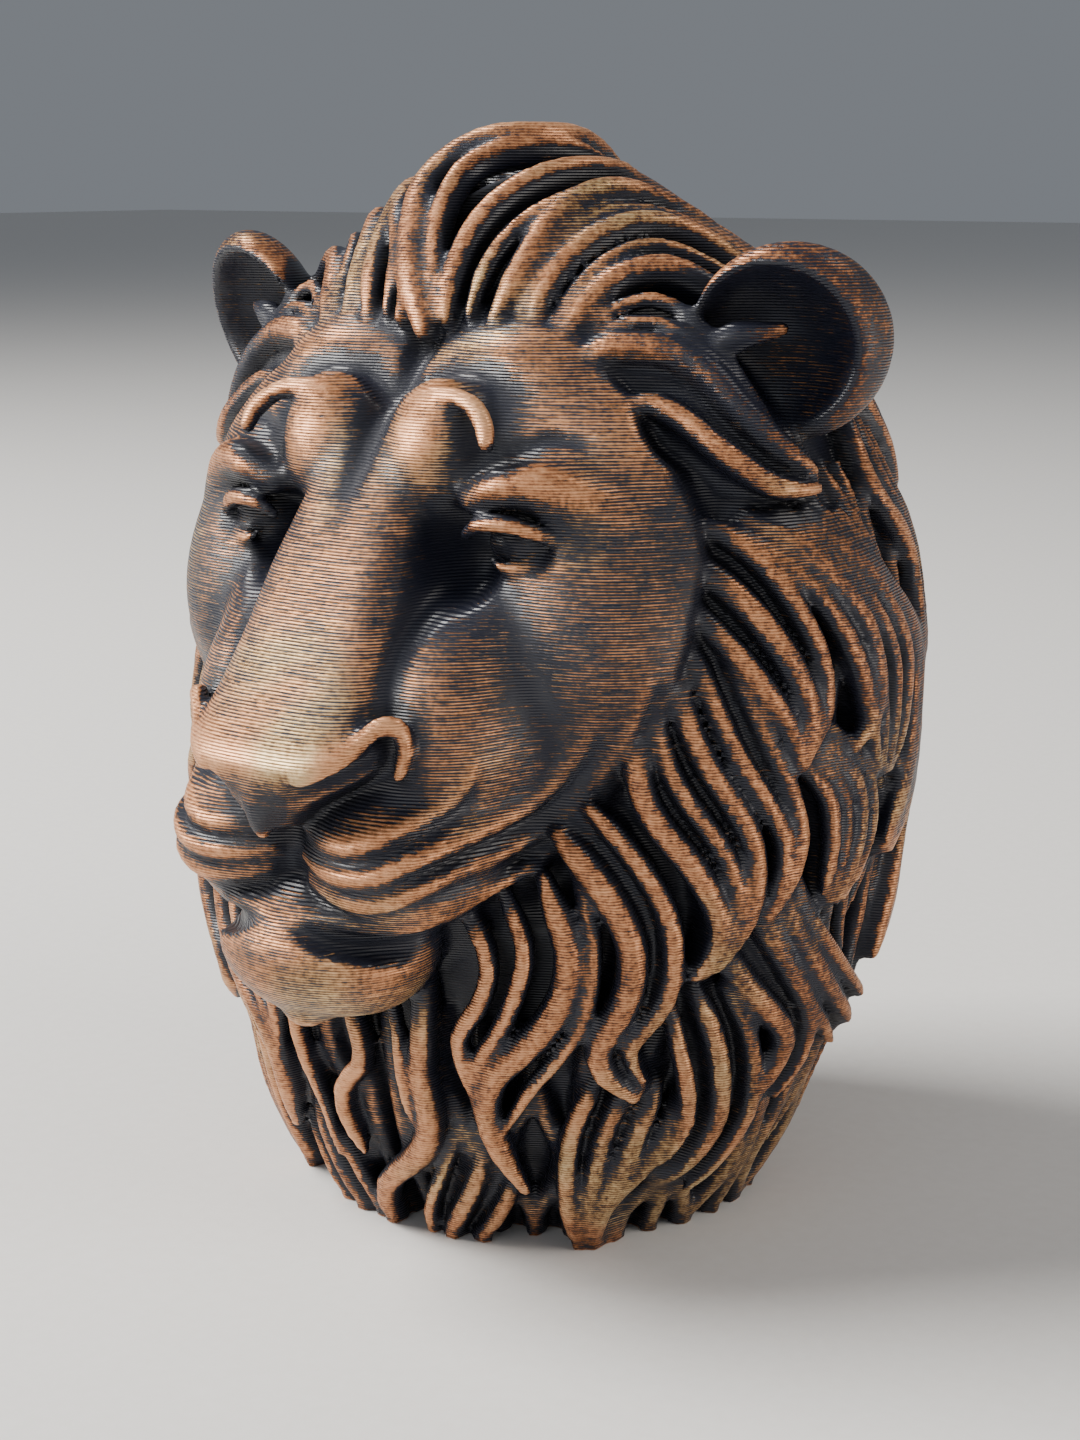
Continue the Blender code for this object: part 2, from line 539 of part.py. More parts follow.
def backLocks(clay):
    """tiers of plainer locks down the back"""
    for tier, el in enumerate(backTiers):
        for i in range(backLocksInTier):
            az = topStart + topStep * i if tier == 0 else backStart + backStep * (i + tier % 2 / 2)
            sway = backSway if tier % 2 else -backSway
            high = el + backStagger * math.sin(2.3 * i + 1.7 * tier)
            stations = (
                (az, high + 18),
                (az + sway, high + 4),
                (az - sway * 0.4, high - 10),
                (az + sway * 0.8, high - 26),
            )
            if az < backEnd:
                lock(clay, stations, stations, 1, backThick, backLift)


def boldLock(clay, first, last, count, thick, rise=sideLift):
    # fewer and thicker ridges over the same ground
    lock(clay, first, last or first, min(count, mostRidges), thick * boldness, rise)


def mane(clay):
    napeLocks(clay)
    for spots in crownLocks:
        boldLock(clay, *spots, crownLift)
    ears(clay)
    for spots in templeLocks:
        boldLock(clay, *spots, templeLift)
    backLocks(clay)
    for stations, thick in bladeLocks:
        lock(clay, stations, stations, 1, thick * boldness, bladeLift, mirror=False)
    for stations, thick in loneLocks:
        lock(clay, stations, stations, 1, thick * boldness, sideLift, mirror=False)
    for spots in beardLocks + sideLocks:
        boldLock(clay, *spots)


def sculpt(cell):
    clay = Clay(cell)
    maneBody(clay)
    faceMasses(clay)
    brow(clay)
    eyes(clay)
    mouth(clay)
    whiskerFolds(clay)
    nostrils(clay)
    cheekRim(clay)
    mane(clay)
    # the last of the neck runs straight down, and the whole is rubbed smooth a little
    foot = int(round((neckStraight - clay.low[2]) / cell))
    clay.field[:, :, :foot] = clay.field[:, :, foot : foot + 1]
    for axis in range(3):
        before, after = np.roll(clay.field, 1, axis), np.roll(clay.field, -1, axis)
        clay.field = rubbing * (before + after) + (1 - 2 * rubbing) * clay.field
    return clay


def skin(clay):
    """points and triangles of the surface, six wedges to a cell so that it's always closed"""
    field = np.where(clay.field == 0, 1e-6, clay.field)
    field[0], field[-1], field[:, 0], field[:, -1], field[:, :, 0], field[:, :, -1] = [1.0] * 6
    inside = field < 0
    shape = np.array(field.shape)
    corner = [(c & 1, c >> 1 & 1, c >> 2 & 1) for c in range(8)]
    body = [slice(None, -1), slice(1, None)]
    total = sum(inside[body[a], body[b], body[c]].astype(np.int8) for a, b, c in corner)
    cells = np.argwhere((total > 0) & (total < 8))
    jump = np.array([shape[1] * shape[2], shape[2], 1])
    flat = cells @ jump
    ids = flat[:, None] + np.array(corner) @ jump
    value = field.reshape(-1)[ids]
    faces = []
    evenTurns = ((1, 2, 4), (2, 4, 1), (4, 1, 2))
    oddTurns = ((2, 1, 4), (4, 2, 1), (1, 4, 2))
    pairs = ((0, 1, 2, 3), (0, 2, 3, 1), (0, 3, 1, 2), (2, 3, 0, 1), (3, 1, 0, 2), (1, 2, 0, 3))
    for first, second, third in evenTurns + oddTurns:
        even = (first, second, third) in evenTurns
        wedge = [0, first, first + second, 7]
        if not even:
            wedge = [0, first + second, first, 7]
        sign = value[:, wedge] < 0
        code = sign @ np.array([1, 2, 4, 8])
        for a, b, c, d in ((0, 1, 2, 3), (1, 0, 3, 2), (2, 3, 0, 1), (3, 2, 1, 0)):
            for rows, flip in ((code == 1 << a, False), (code == 15 - (1 << a), True)):
                ends = [(a, b), (a, d), (a, c)] if flip else [(a, b), (a, c), (a, d)]
                faces.append(edgeKeys(ids[rows], wedge, ends))
        for a, b, c, d in pairs:
            rows = code == (1 << a) + (1 << b)
            quad = edgeKeys(ids[rows], wedge, [(a, c), (a, d), (b, d), (b, c)])
            faces += [quad[:, [0, 1, 2]], quad[:, [0, 2, 3]]]
    faces = np.concatenate(faces)
    keys, index = np.unique(faces.reshape(-1, 2), axis=0, return_inverse=True)
    low, high = keys[:, 0], keys[:, 1]
    near, far = field.reshape(-1)[low], field.reshape(-1)[high]
    share = np.clip(near / (near - far), 0.03, 0.97)[:, None]
    p = np.stack(np.unravel_index(low, shape), 1)
    q = np.stack(np.unravel_index(high, shape), 1)
    points = clay.low + clay.cell * (p + (q - p) * share)
    return points, index.reshape(-1, 3)


def edgeKeys(ids, wedge, ends):
    out = np.empty((len(ids), len(ends), 2), np.int64)
    for i, (a, b) in enumerate(ends):
        one, two = ids[:, wedge[a]], ids[:, wedge[b]]
        out[:, i, 0] = np.minimum(one, two)
        out[:, i, 1] = np.maximum(one, two)
    return out


def keepLargest(shape):
    """drops any loose crumb, leaving the one body"""
    left = set(shape.faces)
    bodies = []
    while left:
        queue = [left.pop()]
        body = []
        while queue:
            face = queue.pop()
            body.append(face)
            for edge in face.edges:
                for other in edge.link_faces:
                    if other in left:
                        left.remove(other)
                        queue.append(other)
        bodies.append(body)
    bodies.sort(key=len)
    crumbs = [face for body in bodies[:-1] for face in body]
    bmesh.ops.delete(shape, geom=crumbs, context="FACES")


def clearScene():
    for item in list(bpy.data.objects):
        bpy.data.objects.remove(item, do_unlink=True)


def printedPlastic():
    material = bpy.data.materials.new("black_plastic")
    material.use_nodes = True
    shader = material.node_tree.nodes["Principled BSDF"]
    shader.inputs["Base Color"].default_value = (0.16, 0.09, 0.05, 1)
    shader.inputs["Metallic"].default_value = 0.3
    shader.inputs["Roughness"].default_value = 0.45
    return material


def lionHead():
    points, faces = skin(sculpt(cellSize))
    mesh = bpy.data.meshes.new("lion_head")
    mesh.from_pydata((points / 1000).tolist(), [], faces.tolist())
    mesh.update()
    head = bpy.data.objects.new("lion_head", mesh)
    bpy.context.scene.collection.objects.link(head)
    thin = head.modifiers.new("thin", "DECIMATE")
    thin.ratio = triangleGoal / len(faces)
    bpy.context.view_layer.objects.active = head
    bpy.ops.object.modifier_apply(modifier="thin")
    # flat underside
    shape = bmesh.new()
    shape.from_mesh(mesh)
    everything = shape.verts[:] + shape.edges[:] + shape.faces[:]
    level = (0, 0, neckCut / 1000)
    bmesh.ops.bisect_plane(shape, geom=everything, plane_co=level, plane_no=(0, 0, 1), clear_inner=True)
    keepLargest(shape)
    rim = [edge for edge in shape.edges if edge.is_boundary]
    cap = bmesh.ops.contextual_create(shape, geom=rim)["faces"]
    bmesh.ops.triangulate(shape, faces=cap)
    bmesh.ops.translate(shape, verts=shape.verts[:], vec=(0, 0, -neckCut / 1000))
    bmesh.ops.recalc_face_normals(shape, faces=shape.faces[:])
    for face in shape.faces:
        face.smooth = face.normal.z > -0.999
    shape.to_mesh(mesh)
    shape.free()
    mesh.materials.append(printedPlastic())
    return head


clearScene()
lionHead()
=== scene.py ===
import json
import math

import bpy
import numpy as np
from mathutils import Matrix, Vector

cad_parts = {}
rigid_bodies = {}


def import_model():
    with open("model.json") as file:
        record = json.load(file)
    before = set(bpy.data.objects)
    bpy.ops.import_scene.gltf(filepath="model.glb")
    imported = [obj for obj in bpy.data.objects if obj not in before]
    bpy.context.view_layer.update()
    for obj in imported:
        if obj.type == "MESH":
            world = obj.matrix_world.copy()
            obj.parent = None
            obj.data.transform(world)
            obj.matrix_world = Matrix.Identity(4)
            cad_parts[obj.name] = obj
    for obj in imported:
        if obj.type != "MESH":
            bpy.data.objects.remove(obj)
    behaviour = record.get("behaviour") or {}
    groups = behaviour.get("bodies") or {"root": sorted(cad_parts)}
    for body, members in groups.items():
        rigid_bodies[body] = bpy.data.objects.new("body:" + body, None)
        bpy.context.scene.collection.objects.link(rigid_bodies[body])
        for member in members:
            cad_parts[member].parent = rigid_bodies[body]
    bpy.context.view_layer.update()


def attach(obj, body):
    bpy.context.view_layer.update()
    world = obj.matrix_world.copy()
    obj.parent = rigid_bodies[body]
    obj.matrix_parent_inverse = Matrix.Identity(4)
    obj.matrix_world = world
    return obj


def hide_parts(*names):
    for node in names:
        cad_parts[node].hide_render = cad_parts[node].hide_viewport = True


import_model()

print("frame loaded")

# The head is modelled in millimetres as a block of clay: eggs, ropes and lofted sections
# are pressed together or pressed in, then the block's skin becomes the mesh.
# x is the lion's left, -y its face, z up.

clayBlock = {
    "low": (-33.0, -37.0, -3.0),
    "high": (33.0, 31.0, 83.0),
    "grain": 0.4,              # finest size the clay holds
    "quickGrain": 0.45,
    "mostTriangles": 196000,
    "neckCut": 0.13,           # the neck is cut flat here
    "neckStraight": 0.75,      # below this height the sides run straight down
    "ease": 0.10,              # how much each place leans on its neighbours
    "farOff": 6.0,             # empty clay is this far from any surface
}


class Clay:
    # holds the distance to the surface at every place of the block, negative inside
    def __init__(self, grain):
        self.grain = grain
        self.low = np.array(clayBlock["low"])
        counts = np.ceil((np.array(clayBlock["high"]) - self.low) / grain).astype(int) + 1
        self.line = [(self.low[i] + grain * np.arange(counts[i])).astype(np.float32) for i in range(3)]
        self.field = np.full(counts, clayBlock["farOff"], np.float32)

    def window(self, low, high):
        spans = []
        for i in range(3):
            first = max(0, int(math.floor((low[i] - self.low[i]) / self.grain)))
            last = int(math.ceil((high[i] - self.low[i]) / self.grain)) + 1
            spans.append(slice(first, max(first, min(self.field.shape[i], last))))
        spans = tuple(spans)
        x = self.line[0][spans[0]][:, None, None]
        y = self.line[1][spans[1]][None, :, None]
        z = self.line[2][spans[2]][None, None, :]
        return spans, x, y, z

    def put(self, spans, shape, soft, hollow):
        if hollow:
            self.field[spans] = -softLow(-self.field[spans], shape, soft)
        else:
            self.field[spans] = softLow(self.field[spans], shape, soft)


def softLow(a, b, soft):
    # the lower of two distances, rounded where they meet
    if soft <= 0:
        return np.minimum(a, b)
    share = np.clip(0.5 + 0.5 * (b - a) / soft, 0, 1)
    return b + (a - b) * share - soft * share * (1 - share)


def turned(tilt):
    # turning matrix for tilts about x, y and z in degrees
    ax, ay, az = np.radians(tilt)
    rx = np.array([[1, 0, 0], [0, math.cos(ax), -math.sin(ax)], [0, math.sin(ax), math.cos(ax)]])
    ry = np.array([[math.cos(ay), 0, math.sin(ay)], [0, 1, 0], [-math.sin(ay), 0, math.cos(ay)]])
    rz = np.array([[math.cos(az), -math.sin(az), 0], [math.sin(az), math.cos(az), 0], [0, 0, 1]])
    return rz @ ry @ rx


def eggDistance(u, v, w, size):
    near = np.sqrt(u * u + v * v + w * w)
    slope = np.sqrt((u / size[0]) ** 2 + (v / size[1]) ** 2 + (w / size[2]) ** 2)
    return (near * (near - 1) / np.maximum(slope, 1e-6)).astype(np.float32)


def egg(clay, centre, size, tilt=(0, 0, 0), soft=2.0, hollow=False, pair=False):
    reach = max(size) + soft + 2
    for side in (1, -1) if pair else (1,):
        c = np.array(centre, float) * (side, 1, 1)
        m = turned((tilt[0], tilt[1] * side, tilt[2] * side)).T
        spans, x, y, z = clay.window(c - reach, c + reach)
        dx, dy, dz = x - c[0], y - c[1], z - c[2]
        u, v, w = ((m[i, 0] * dx + m[i, 1] * dy + m[i, 2] * dz) / size[i] for i in range(3))
        clay.put(spans, eggDistance(u, v, w, size), soft, hollow)


def rope(clay, points, widths, soft=0.4, hollow=False, pair=False):
    points = np.asarray(points, float)
    widths = np.asarray(widths, float) * np.ones(len(points))
    reach = soft + 0.8
    for side in (1, -1) if pair else (1,):
        line = points * (side, 1, 1)
        most = widths.max() + reach + 2 * clay.grain
        spans, x, y, z = clay.window(line.min(0) - most, line.max(0) + most)
        shape = np.full([s.stop - s.start for s in spans], clayBlock["farOff"], np.float32)
        if 0 in shape.shape:
            continue
        for p, q, r0, r1 in zip(line[:-1], line[1:], widths[:-1], widths[1:]):
            pad = max(r0, r1) + reach
            inner, sx, sy, sz = clay.window(np.minimum(p, q) - pad, np.maximum(p, q) + pad)
            axis = q - p
            length = float(axis @ axis)
            if length < 1e-9 or min(s.stop - s.start for s in inner) <= 0:
                continue
            local = tuple(slice(i.start - o.start, i.stop - o.start) for i, o in zip(inner, spans))
            dx, dy, dz = sx - p[0], sy - p[1], sz - p[2]
            t = np.clip((dx * axis[0] + dy * axis[1] + dz * axis[2]) / length, 0, 1)
            away = (dx - t * axis[0]) ** 2 + (dy - t * axis[1]) ** 2 + (dz - t * axis[2]) ** 2
            shape[local] = np.minimum(shape[local], np.sqrt(away) - (r0 + (r1 - r0) * t))
        clay.put(spans, shape, soft, hollow)


def smoothLine(points, steps):
    # curve that passes through every point
    p = np.asarray(points, float)
    p = np.vstack([2 * p[0] - p[1], p, 2 * p[-1] - p[-2]])
    out = []
    for a, b, c, d in zip(p[:-3], p[1:-2], p[2:-1], p[3:]):
        for s in np.linspace(0, 1, steps, endpoint=False):
            turn = (2 * a - 5 * b + 4 * c - d) * s * s + (3 * b - a - 3 * c + d) * s**3
            out.append(0.5 * (2 * b + (c - a) * s + turn))
    out.append(p[-2])
    return np.array(out)


def eased(at, xs, ys, blur):
    # values read between the given ones, with the corners blurred
    dense = np.linspace(min(xs) - 4 * blur, max(xs) + 4 * blur, 600)
    order = np.argsort(xs)
    raw = np.interp(dense, np.asarray(xs, float)[order], np.asarray(ys, float)[order])
    step = dense[1] - dense[0]
    reach = int(3 * blur / step)
    kernel = np.exp(-0.5 * (np.arange(-reach, reach + 1) * step / blur) ** 2)
    soft = np.convolve(np.pad(raw, reach, mode="edge"), kernel / kernel.sum(), mode="valid")
    return np.interp(at, dense, soft)


def loft(clay, rows, soft, power, blur):
    # stack of rounded sections: height, half width, front, back
    rows = np.array(rows, float)
    low = (-rows[:, 1].max() - 3, rows[:, 2].min() - 3, rows[:, 0].min() - 3)
    high = (rows[:, 1].max() + 3, rows[:, 3].max() + 3, rows[:, 0].max() + 3)
    spans, x, y, z = clay.window(low, high)
    wide, front, back = (eased(z, rows[:, 0], rows[:, i], blur) for i in (1, 2, 3))
    mid, deep = (front + back) / 2, (back - front) / 2
    near = ((np.abs(x) / wide) ** power + (np.abs(y - mid) / deep) ** power) ** (1 / power)
    ends = np.maximum(rows[:, 0].min() - z, z - rows[:, 0].max())
    clay.put(spans, np.maximum((near - 1) * np.minimum(wide, deep), ends).astype(np.float32), soft, False)


def frontOf(clay, x, z):
    # y of the surface met from the front
    out = []
    for a, c in zip(x, z):
        i, k = (a - clay.low[0]) / clay.grain, (c - clay.low[2]) / clay.grain
        i0, k0 = int(i), int(k)
        fi, up = i - i0, k - k0
        near = (1 - fi) * clay.field[i0, :, k0] + fi * clay.field[i0 + 1, :, k0]
        far = (1 - fi) * clay.field[i0, :, k0 + 1] + fi * clay.field[i0 + 1, :, k0 + 1]
        column = (1 - up) * near + up * far
        j = int(np.argmax(column < 0))
        out.append(clay.low[1] + clay.grain * (j - 1 + column[j - 1] / (column[j - 1] - column[j])))
    return np.array(out)


def stroke(clay, spots, out, widths, soft=0.5, hollow=False, pair=True):
    # ridge or groove drawn over the face: spots are (x, z), out its height over the surface
    line = smoothLine([(x, 0, z) for x, z in spots], 5)
    depth = frontOf(clay, line[:, 0], line[:, 2])
    depth = np.convolve(np.pad(depth, 2, mode="edge"), [0.1, 0.25, 0.3, 0.25, 0.1], mode="valid")
    share = np.linspace(0, 1, len(line))
    line[:, 1] = depth - np.interp(share, np.linspace(0, 1, len(out)), out)
    thick = np.interp(share, np.linspace(0, 1, len(widths)), widths)
    rope(clay, line, thick, soft, hollow, pair)


def limb(clay, spots, widths, soft, hollow=False, pair=True):
    # bent rope through a few spots
    line = smoothLine(spots, 5)
    thick = np.interp(np.linspace(0, 1, len(line)), np.linspace(0, 1, len(widths)), widths)
    rope(clay, line, thick, soft, hollow, pair)


# mane: an egg about the pole, with these half widths
maneForm = {
    "pole": 42.0,
    "wide": 28.4,
    "back": 24.2,
    "up": 36.3,
    "sideFall": 2.6,
    "backFall": 0.8,
    "down": 55.0,
    "sunk": 2.6,               # the body lies this far under the locks
    "frontLevels": (-70, -35, -10, 20, 45, 70, 90),
    "frontDepths": (25.0, 25.0, 22.0, 19.5, 18.0, 19.0, 21.0),
}


def maneFront(el):
    return eased(el, maneForm["frontLevels"], maneForm["frontDepths"], 8.0)


def maneTop(acrossShare, backShare):
    # the crown falls away to the sides and a little to the back
    fall = maneForm["sideFall"] * np.clip(np.abs(acrossShare) / 0.3, 0, 1) ** 1.5
    return maneForm["up"] - fall - maneForm["backFall"] * np.clip(backShare / 0.3, 0, 1)


def maneBody(clay):
    spans, x, y, z = clay.window(clayBlock["low"], clayBlock["high"])
    dz = z - maneForm["pole"]
    el = np.degrees(np.arctan2(dz, np.maximum(np.sqrt(x * x + y * y), 1e-3)))
    deep = np.where(y < 0, maneFront(el).astype(np.float32), maneForm["back"]) - maneForm["sunk"]
    far = np.maximum(np.sqrt(x * x + y * y + dz * dz), 1e-3)
    tall = np.where(dz > 0, maneTop(x / far, y / far), maneForm["down"]).astype(np.float32) - maneForm["sunk"]
    wide = maneForm["wide"] - maneForm["sunk"]
    clay.put(spans, eggDistance(x / wide, y / deep, dz / tall, (wide, deep, tall)), 0, False)


def onMane(d):
    # places on the mane's outer form, and the way outwards there
    el = np.degrees(np.arcsin(np.clip(d[:, 2], -1, 1)))
    deep = np.where(d[:, 1] < 0, maneFront(el), maneForm["back"])
    tall = np.where(d[:, 2] > 0, maneTop(d[:, 0], d[:, 1]), maneForm["down"])
    size = np.stack([np.full(len(d), maneForm["wide"]), deep, tall], 1)
    near = np.linalg.norm(d / size, axis=1)
    normal = d / size**2
    normal /= np.linalg.norm(normal, axis=1)[:, None]
    return d / near[:, None] + (0, 0, maneForm["pole"]), normal


def trail(stations):
    # directions through (azimuth, elevation) stations, evenly spaced
    az, el = np.radians(np.asarray(stations, float)).T
    ways = np.stack([np.cos(el) * np.sin(az), -np.cos(el) * np.cos(az), np.sin(el)], 1)
    line = smoothLine(ways, 12)
    line /= np.linalg.norm(line, axis=1)[:, None]
    gone = np.concatenate([[0], np.cumsum(np.linalg.norm(np.diff(line, axis=0), axis=1))])
    at = np.linspace(0, gone[-1], max(6, int(round(gone[-1] * 27))))
    line = np.stack([np.interp(at, gone, line[:, i]) for i in range(3)], 1)
    return line / np.linalg.norm(line, axis=1)[:, None]


# one lock of hair: each ridge swells and thins from root to tip, a body fills the room under them
lockForm = {
    "rise": (-0.9, 0.2, 0.6),  # height over the mane at root, middle and tip
    "dip": 0.85,               # how far the body lies under the ridges, in ridge widths
    "share": (0, 0.12, 0.6, 0.88, 1),    # places along the ridge, and its width there
    "swell": (0.55, 0.95, 1, 0.8, 0.35),
    "uneven": 0.14,
    "under": 0.6,
    "ridgeSoft": 0.25,
    "bodySoft": 0.6,
}


def lock(clay, first, last, count, thick, rise=lockForm["rise"], dip=lockForm["dip"], mirror=True):
    # ridges that fan out between two edges, over a lower rounded body, each to its own tip
    ways = [trail(first), trail(last)]
    share = np.linspace(0, 1, max(len(way) for way in ways))
    edges = []
    for way in ways:
        own = np.linspace(0, 1, len(way))
        edges.append(np.stack([np.interp(share, own, way[:, i]) for i in range(3)], 1))
    lift = np.interp(share, (0, 0.5, 1), rise)
    fat = np.interp(share, lockForm["share"], lockForm["swell"]) * thick
    lines = []
    ups = []
    for i in range(count):
        u = i / max(count - 1, 1)
        way = edges[0] * (1 - u) + edges[1] * u
        place, normal = onMane(way / np.linalg.norm(way, axis=1)[:, None])
        line = place + normal * lift[:, None]
        lines.append(line)
        ups.append(normal)
        bold = fat * (1 + lockForm["uneven"] * math.sin(2.4 * i + len(first)))
        rope(clay, line, bold, lockForm["ridgeSoft"], pair=mirror)
        rope(clay, line - normal * fat[:, None] * lockForm["under"], bold, lockForm["ridgeSoft"], pair=mirror)
    middle = (lines[0] + lines[-1]) / 2
    up = (ups[0] + ups[-1]) / 2
    bulk = np.linalg.norm(lines[0] - lines[-1], axis=1) / 2 + fat * lockForm["under"]
    rope(clay, middle - up * (bulk + dip * fat)[:, None], bulk, lockForm["bodySoft"], pair=mirror)


faceForm = {
    # height, half width, front, back
    "rows": (
        (66.5, 13.0, -11.5, 10.0),
        (63.5, 17.4, -14.8, 10.0),
        (60.0, 20.0, -18.0, 10.0),
        (56.0, 22.0, -20.0, 10.0),
        (50.0, 23.5, -20.4, 10.0),
        (44.0, 23.5, -20.8, 10.0),
        (38.0, 21.5, -21.0, 10.0),
        (32.0, 17.5, -20.8, 10.0),
        (27.0, 12.5, -19.5, 8.0),
    ),
    "nose": (
        (61.0, 3.6, -18.0, -8.0),
        (57.5, 4.4, -20.6, -8.0),
        (54.0, 5.4, -22.8, -8.0),
        (50.0, 6.2, -25.4, -10.0),
        (46.0, 6.6, -27.7, -12.0),
        (42.5, 7.0, -30.0, -14.0),
        (39.8, 7.5, -32.0, -16.0),
        (38.4, 7.6, -33.3, -18.0),
        (37.2, 6.6, -32.9, -18.0),
        (35.6, 3.8, -31.9, -18.0),
        (33.6, 1.8, -31.4, -18.0),
    ),
    # eggs: middle, half sizes, tilt, how softly they meet the rest
    "cheek": ((14.5, -12.2, 46.0), (6.6, 7.4, 8), (0, -10, 0), 3),
    "muzzle": ((6.6, -18.6, 39.5), (6.4, 8.4, 9.5), (-20, 0, 16), 3),
    "lipPad": ((5.2, -22.6, 31.4), (6.7, 8.4, 5.6), (0, 4, 24), 2),
    "noseSide": ((8.6, -17.0, 44.0), (3.6, 5.6, 4.6), (-10, 0, 10), 2),
    "eyeCorner": ((8.0, -22.0, 51.4), (2.0, 4.2, 3.2), (0, -8, 0), 1.8),
    "brow": ((4.6, -16.1, 57.4), (4.2, 5.3, 5.4), (0, 8, 0), 0.9),
    "forehead": ((7.0, -10.6, 61.6), (6.4, 5.9, 4.3), (0, 0, 0), 1.4),
    "chin": ((0, -25.4, 24.4), (7.4, 6.2, 5.2), (0, 0, 0), 1.0),
    "chinSide": ((3.6, -24.6, 24.6), (4.4, 5.4, 4.6), (0, 0, 0), 1.0),
    "jaw": ((0, -16, 26.5), (11, 7, 5), (0, 0, 0), 1.2),
    # groove between the bridge of the nose and the cheek
    "slit": (
        (7.4, -21.4, 50.5), (7.3, -22.8, 48.4), (7.1, -24.9, 46.0),
        (7.2, -27.0, 43.6), (7.4, -29.0, 41.6),
    ),
    "slitWidths": (1.6, 1.1, 0.6, 0.45, 0.35),
}


def mass(clay, form, name, hollow=False, pair=True):
    # an egg by its name in the settings, one on each side unless it lies in the middle
    centre, size, tilt, soft = form[name]
    egg(clay, centre, size, tilt, soft, hollow, pair)


def faceMasses(clay):
    loft(clay, faceForm["rows"], 2.5, 2.6, 2.5)
    for name in ("cheek", "muzzle", "lipPad", "noseSide"):
        mass(clay, faceForm, name)
    mass(clay, faceForm, "eyeCorner", hollow=True)
    loft(clay, faceForm["nose"], 0.7, 3.6, 0.8)
    limb(clay, faceForm["slit"], faceForm["slitWidths"], 1.0, True)
    mass(clay, faceForm, "brow")
    mass(clay, faceForm, "forehead")
    mass(clay, faceForm, "chin", pair=False)
    mass(clay, faceForm, "chinSide")
    mass(clay, faceForm, "jaw", pair=False)


def brow(clay):
    middle = ((0, 64.6), (0, 62.6), (0, 60.0), (0, 57.0), (0, 53.4))
    stroke(clay, middle, (0.1, 0.0, 0.0, 0.1, 0.9), (1.3, 1.0, 0.95, 0.8, 0.4), 1.0, True, False)
    # valley between the forehead and the brow
    valley = ((1.0, 61.0), (3.0, 62.5), (5.6, 63.0), (8.0, 62.6), (10.0, 61.6))
    stroke(clay, valley, (0.2, 0.2, 0.6), (0.4, 0.7, 0.7, 0.6, 0.5), 1.4, True)
    # the hooked ridge over each brow, and the pocket that it curls round
    pocket = ((8.3, -21.4, 60.2), (9.2, -21.3, 58.6), (9.6, -21.0, 57.0))
    limb(clay, pocket, (0.5, 1.0, 0.9), 0.5, True)
    hook = (
        (2.2, -18.9, 60.0), (4.0, -19.4, 61.0), (6.2, -19.5, 61.4),
        (8.4, -19.5, 60.9), (9.9, -20.1, 59.7), (10.4, -20.5, 58.6),
    )
    limb(clay, hook, (0.3, 0.5, 0.62, 0.7, 0.7, 0.6), 0.4)


eyeForm = {
    "corner": ((8.2, -20.6, 51.2), (2.2, 4.2, 3.0), (0, -10, 0), 1.6),
    "dent": ((8.6, -22.6, 57.6), (1.0, 2.0, 1.3), (0, 0, 0), 0.6),
    "socket": ((11.4, -20.4, 52.2), (3.9, 3.4, 2.2), (0, 6, -20), 0.6),
    "ball": ((11.2, -16.6, 51.9), (2.8, 2.8, 2.0), (0, 0, 0), 0.2),
}


def eyes(clay):
    for name in ("corner", "dent", "socket"):
        mass(clay, eyeForm, name, hollow=True)
    mass(clay, eyeForm, "ball")
    fold = (
        (8.9, -19.8, 54.7), (11.0, -20.0, 55.7), (13.4, -18.9, 55.9),
        (15.6, -17.4, 55.0), (17.4, -15.6, 53.6),
    )
    limb(clay, fold, (0.7, 1.1, 1.2, 1.0, 0.6), 2.2)
    crease = ((8.8, -20.9, 53.9), (11.0, -21.2, 54.7), (13.4, -20.2, 54.6), (15.4, -18.6, 53.5))
    limb(clay, crease, (0.3, 0.5, 0.5, 0.3), 0.25, True)
    upper = (
        (8.3, -20.1, 52.4), (9.8, -20.6, 53.2), (11.7, -20.3, 53.4),
        (13.5, -19.2, 52.8), (15.2, -17.6, 51.8),
    )
    limb(clay, upper, (0.4, 0.6, 0.65, 0.6, 0.3), 0.3)
    lower = (
        (8.9, -19.9, 51.7), (10.2, -20.0, 50.9), (11.6, -19.7, 50.5),
        (13.0, -18.9, 50.8), (14.4, -17.8, 51.5),
    )
    limb(clay, lower, (0.15, 0.3, 0.42, 0.3, 0.1), 0.8)
    stroke(clay, ((10.8, 58.0), (12.6, 58.7), (15.0, 58.4)), (0.0,), (0.3, 0.5, 0.3), 0.8, True)


def mouth(clay):
    lip = (
        (0, -31.4, 28.0), (2.0, -31.0, 27.1), (4.6, -29.6, 26.1),
        (7.4, -27.0, 25.6), (10.0, -24.2, 26.0), (12.4, -21.6, 27.2),
    )
    limb(clay, lip, (0.55, 0.8, 1.0, 1.1, 1.2, 0.5), 0.4, True)
    parting = ((0, -32.2, 34.0), (0, -31.9, 31.6), (0, -31.6, 28.2))
    limb(clay, parting, (0.35, 0.45, 0.5), 0.7, True, False)
    egg(clay, (0.2, -27.6, 19.7), (1.5, 1.3, 0.9), soft=0.8)      # tuft under the chin


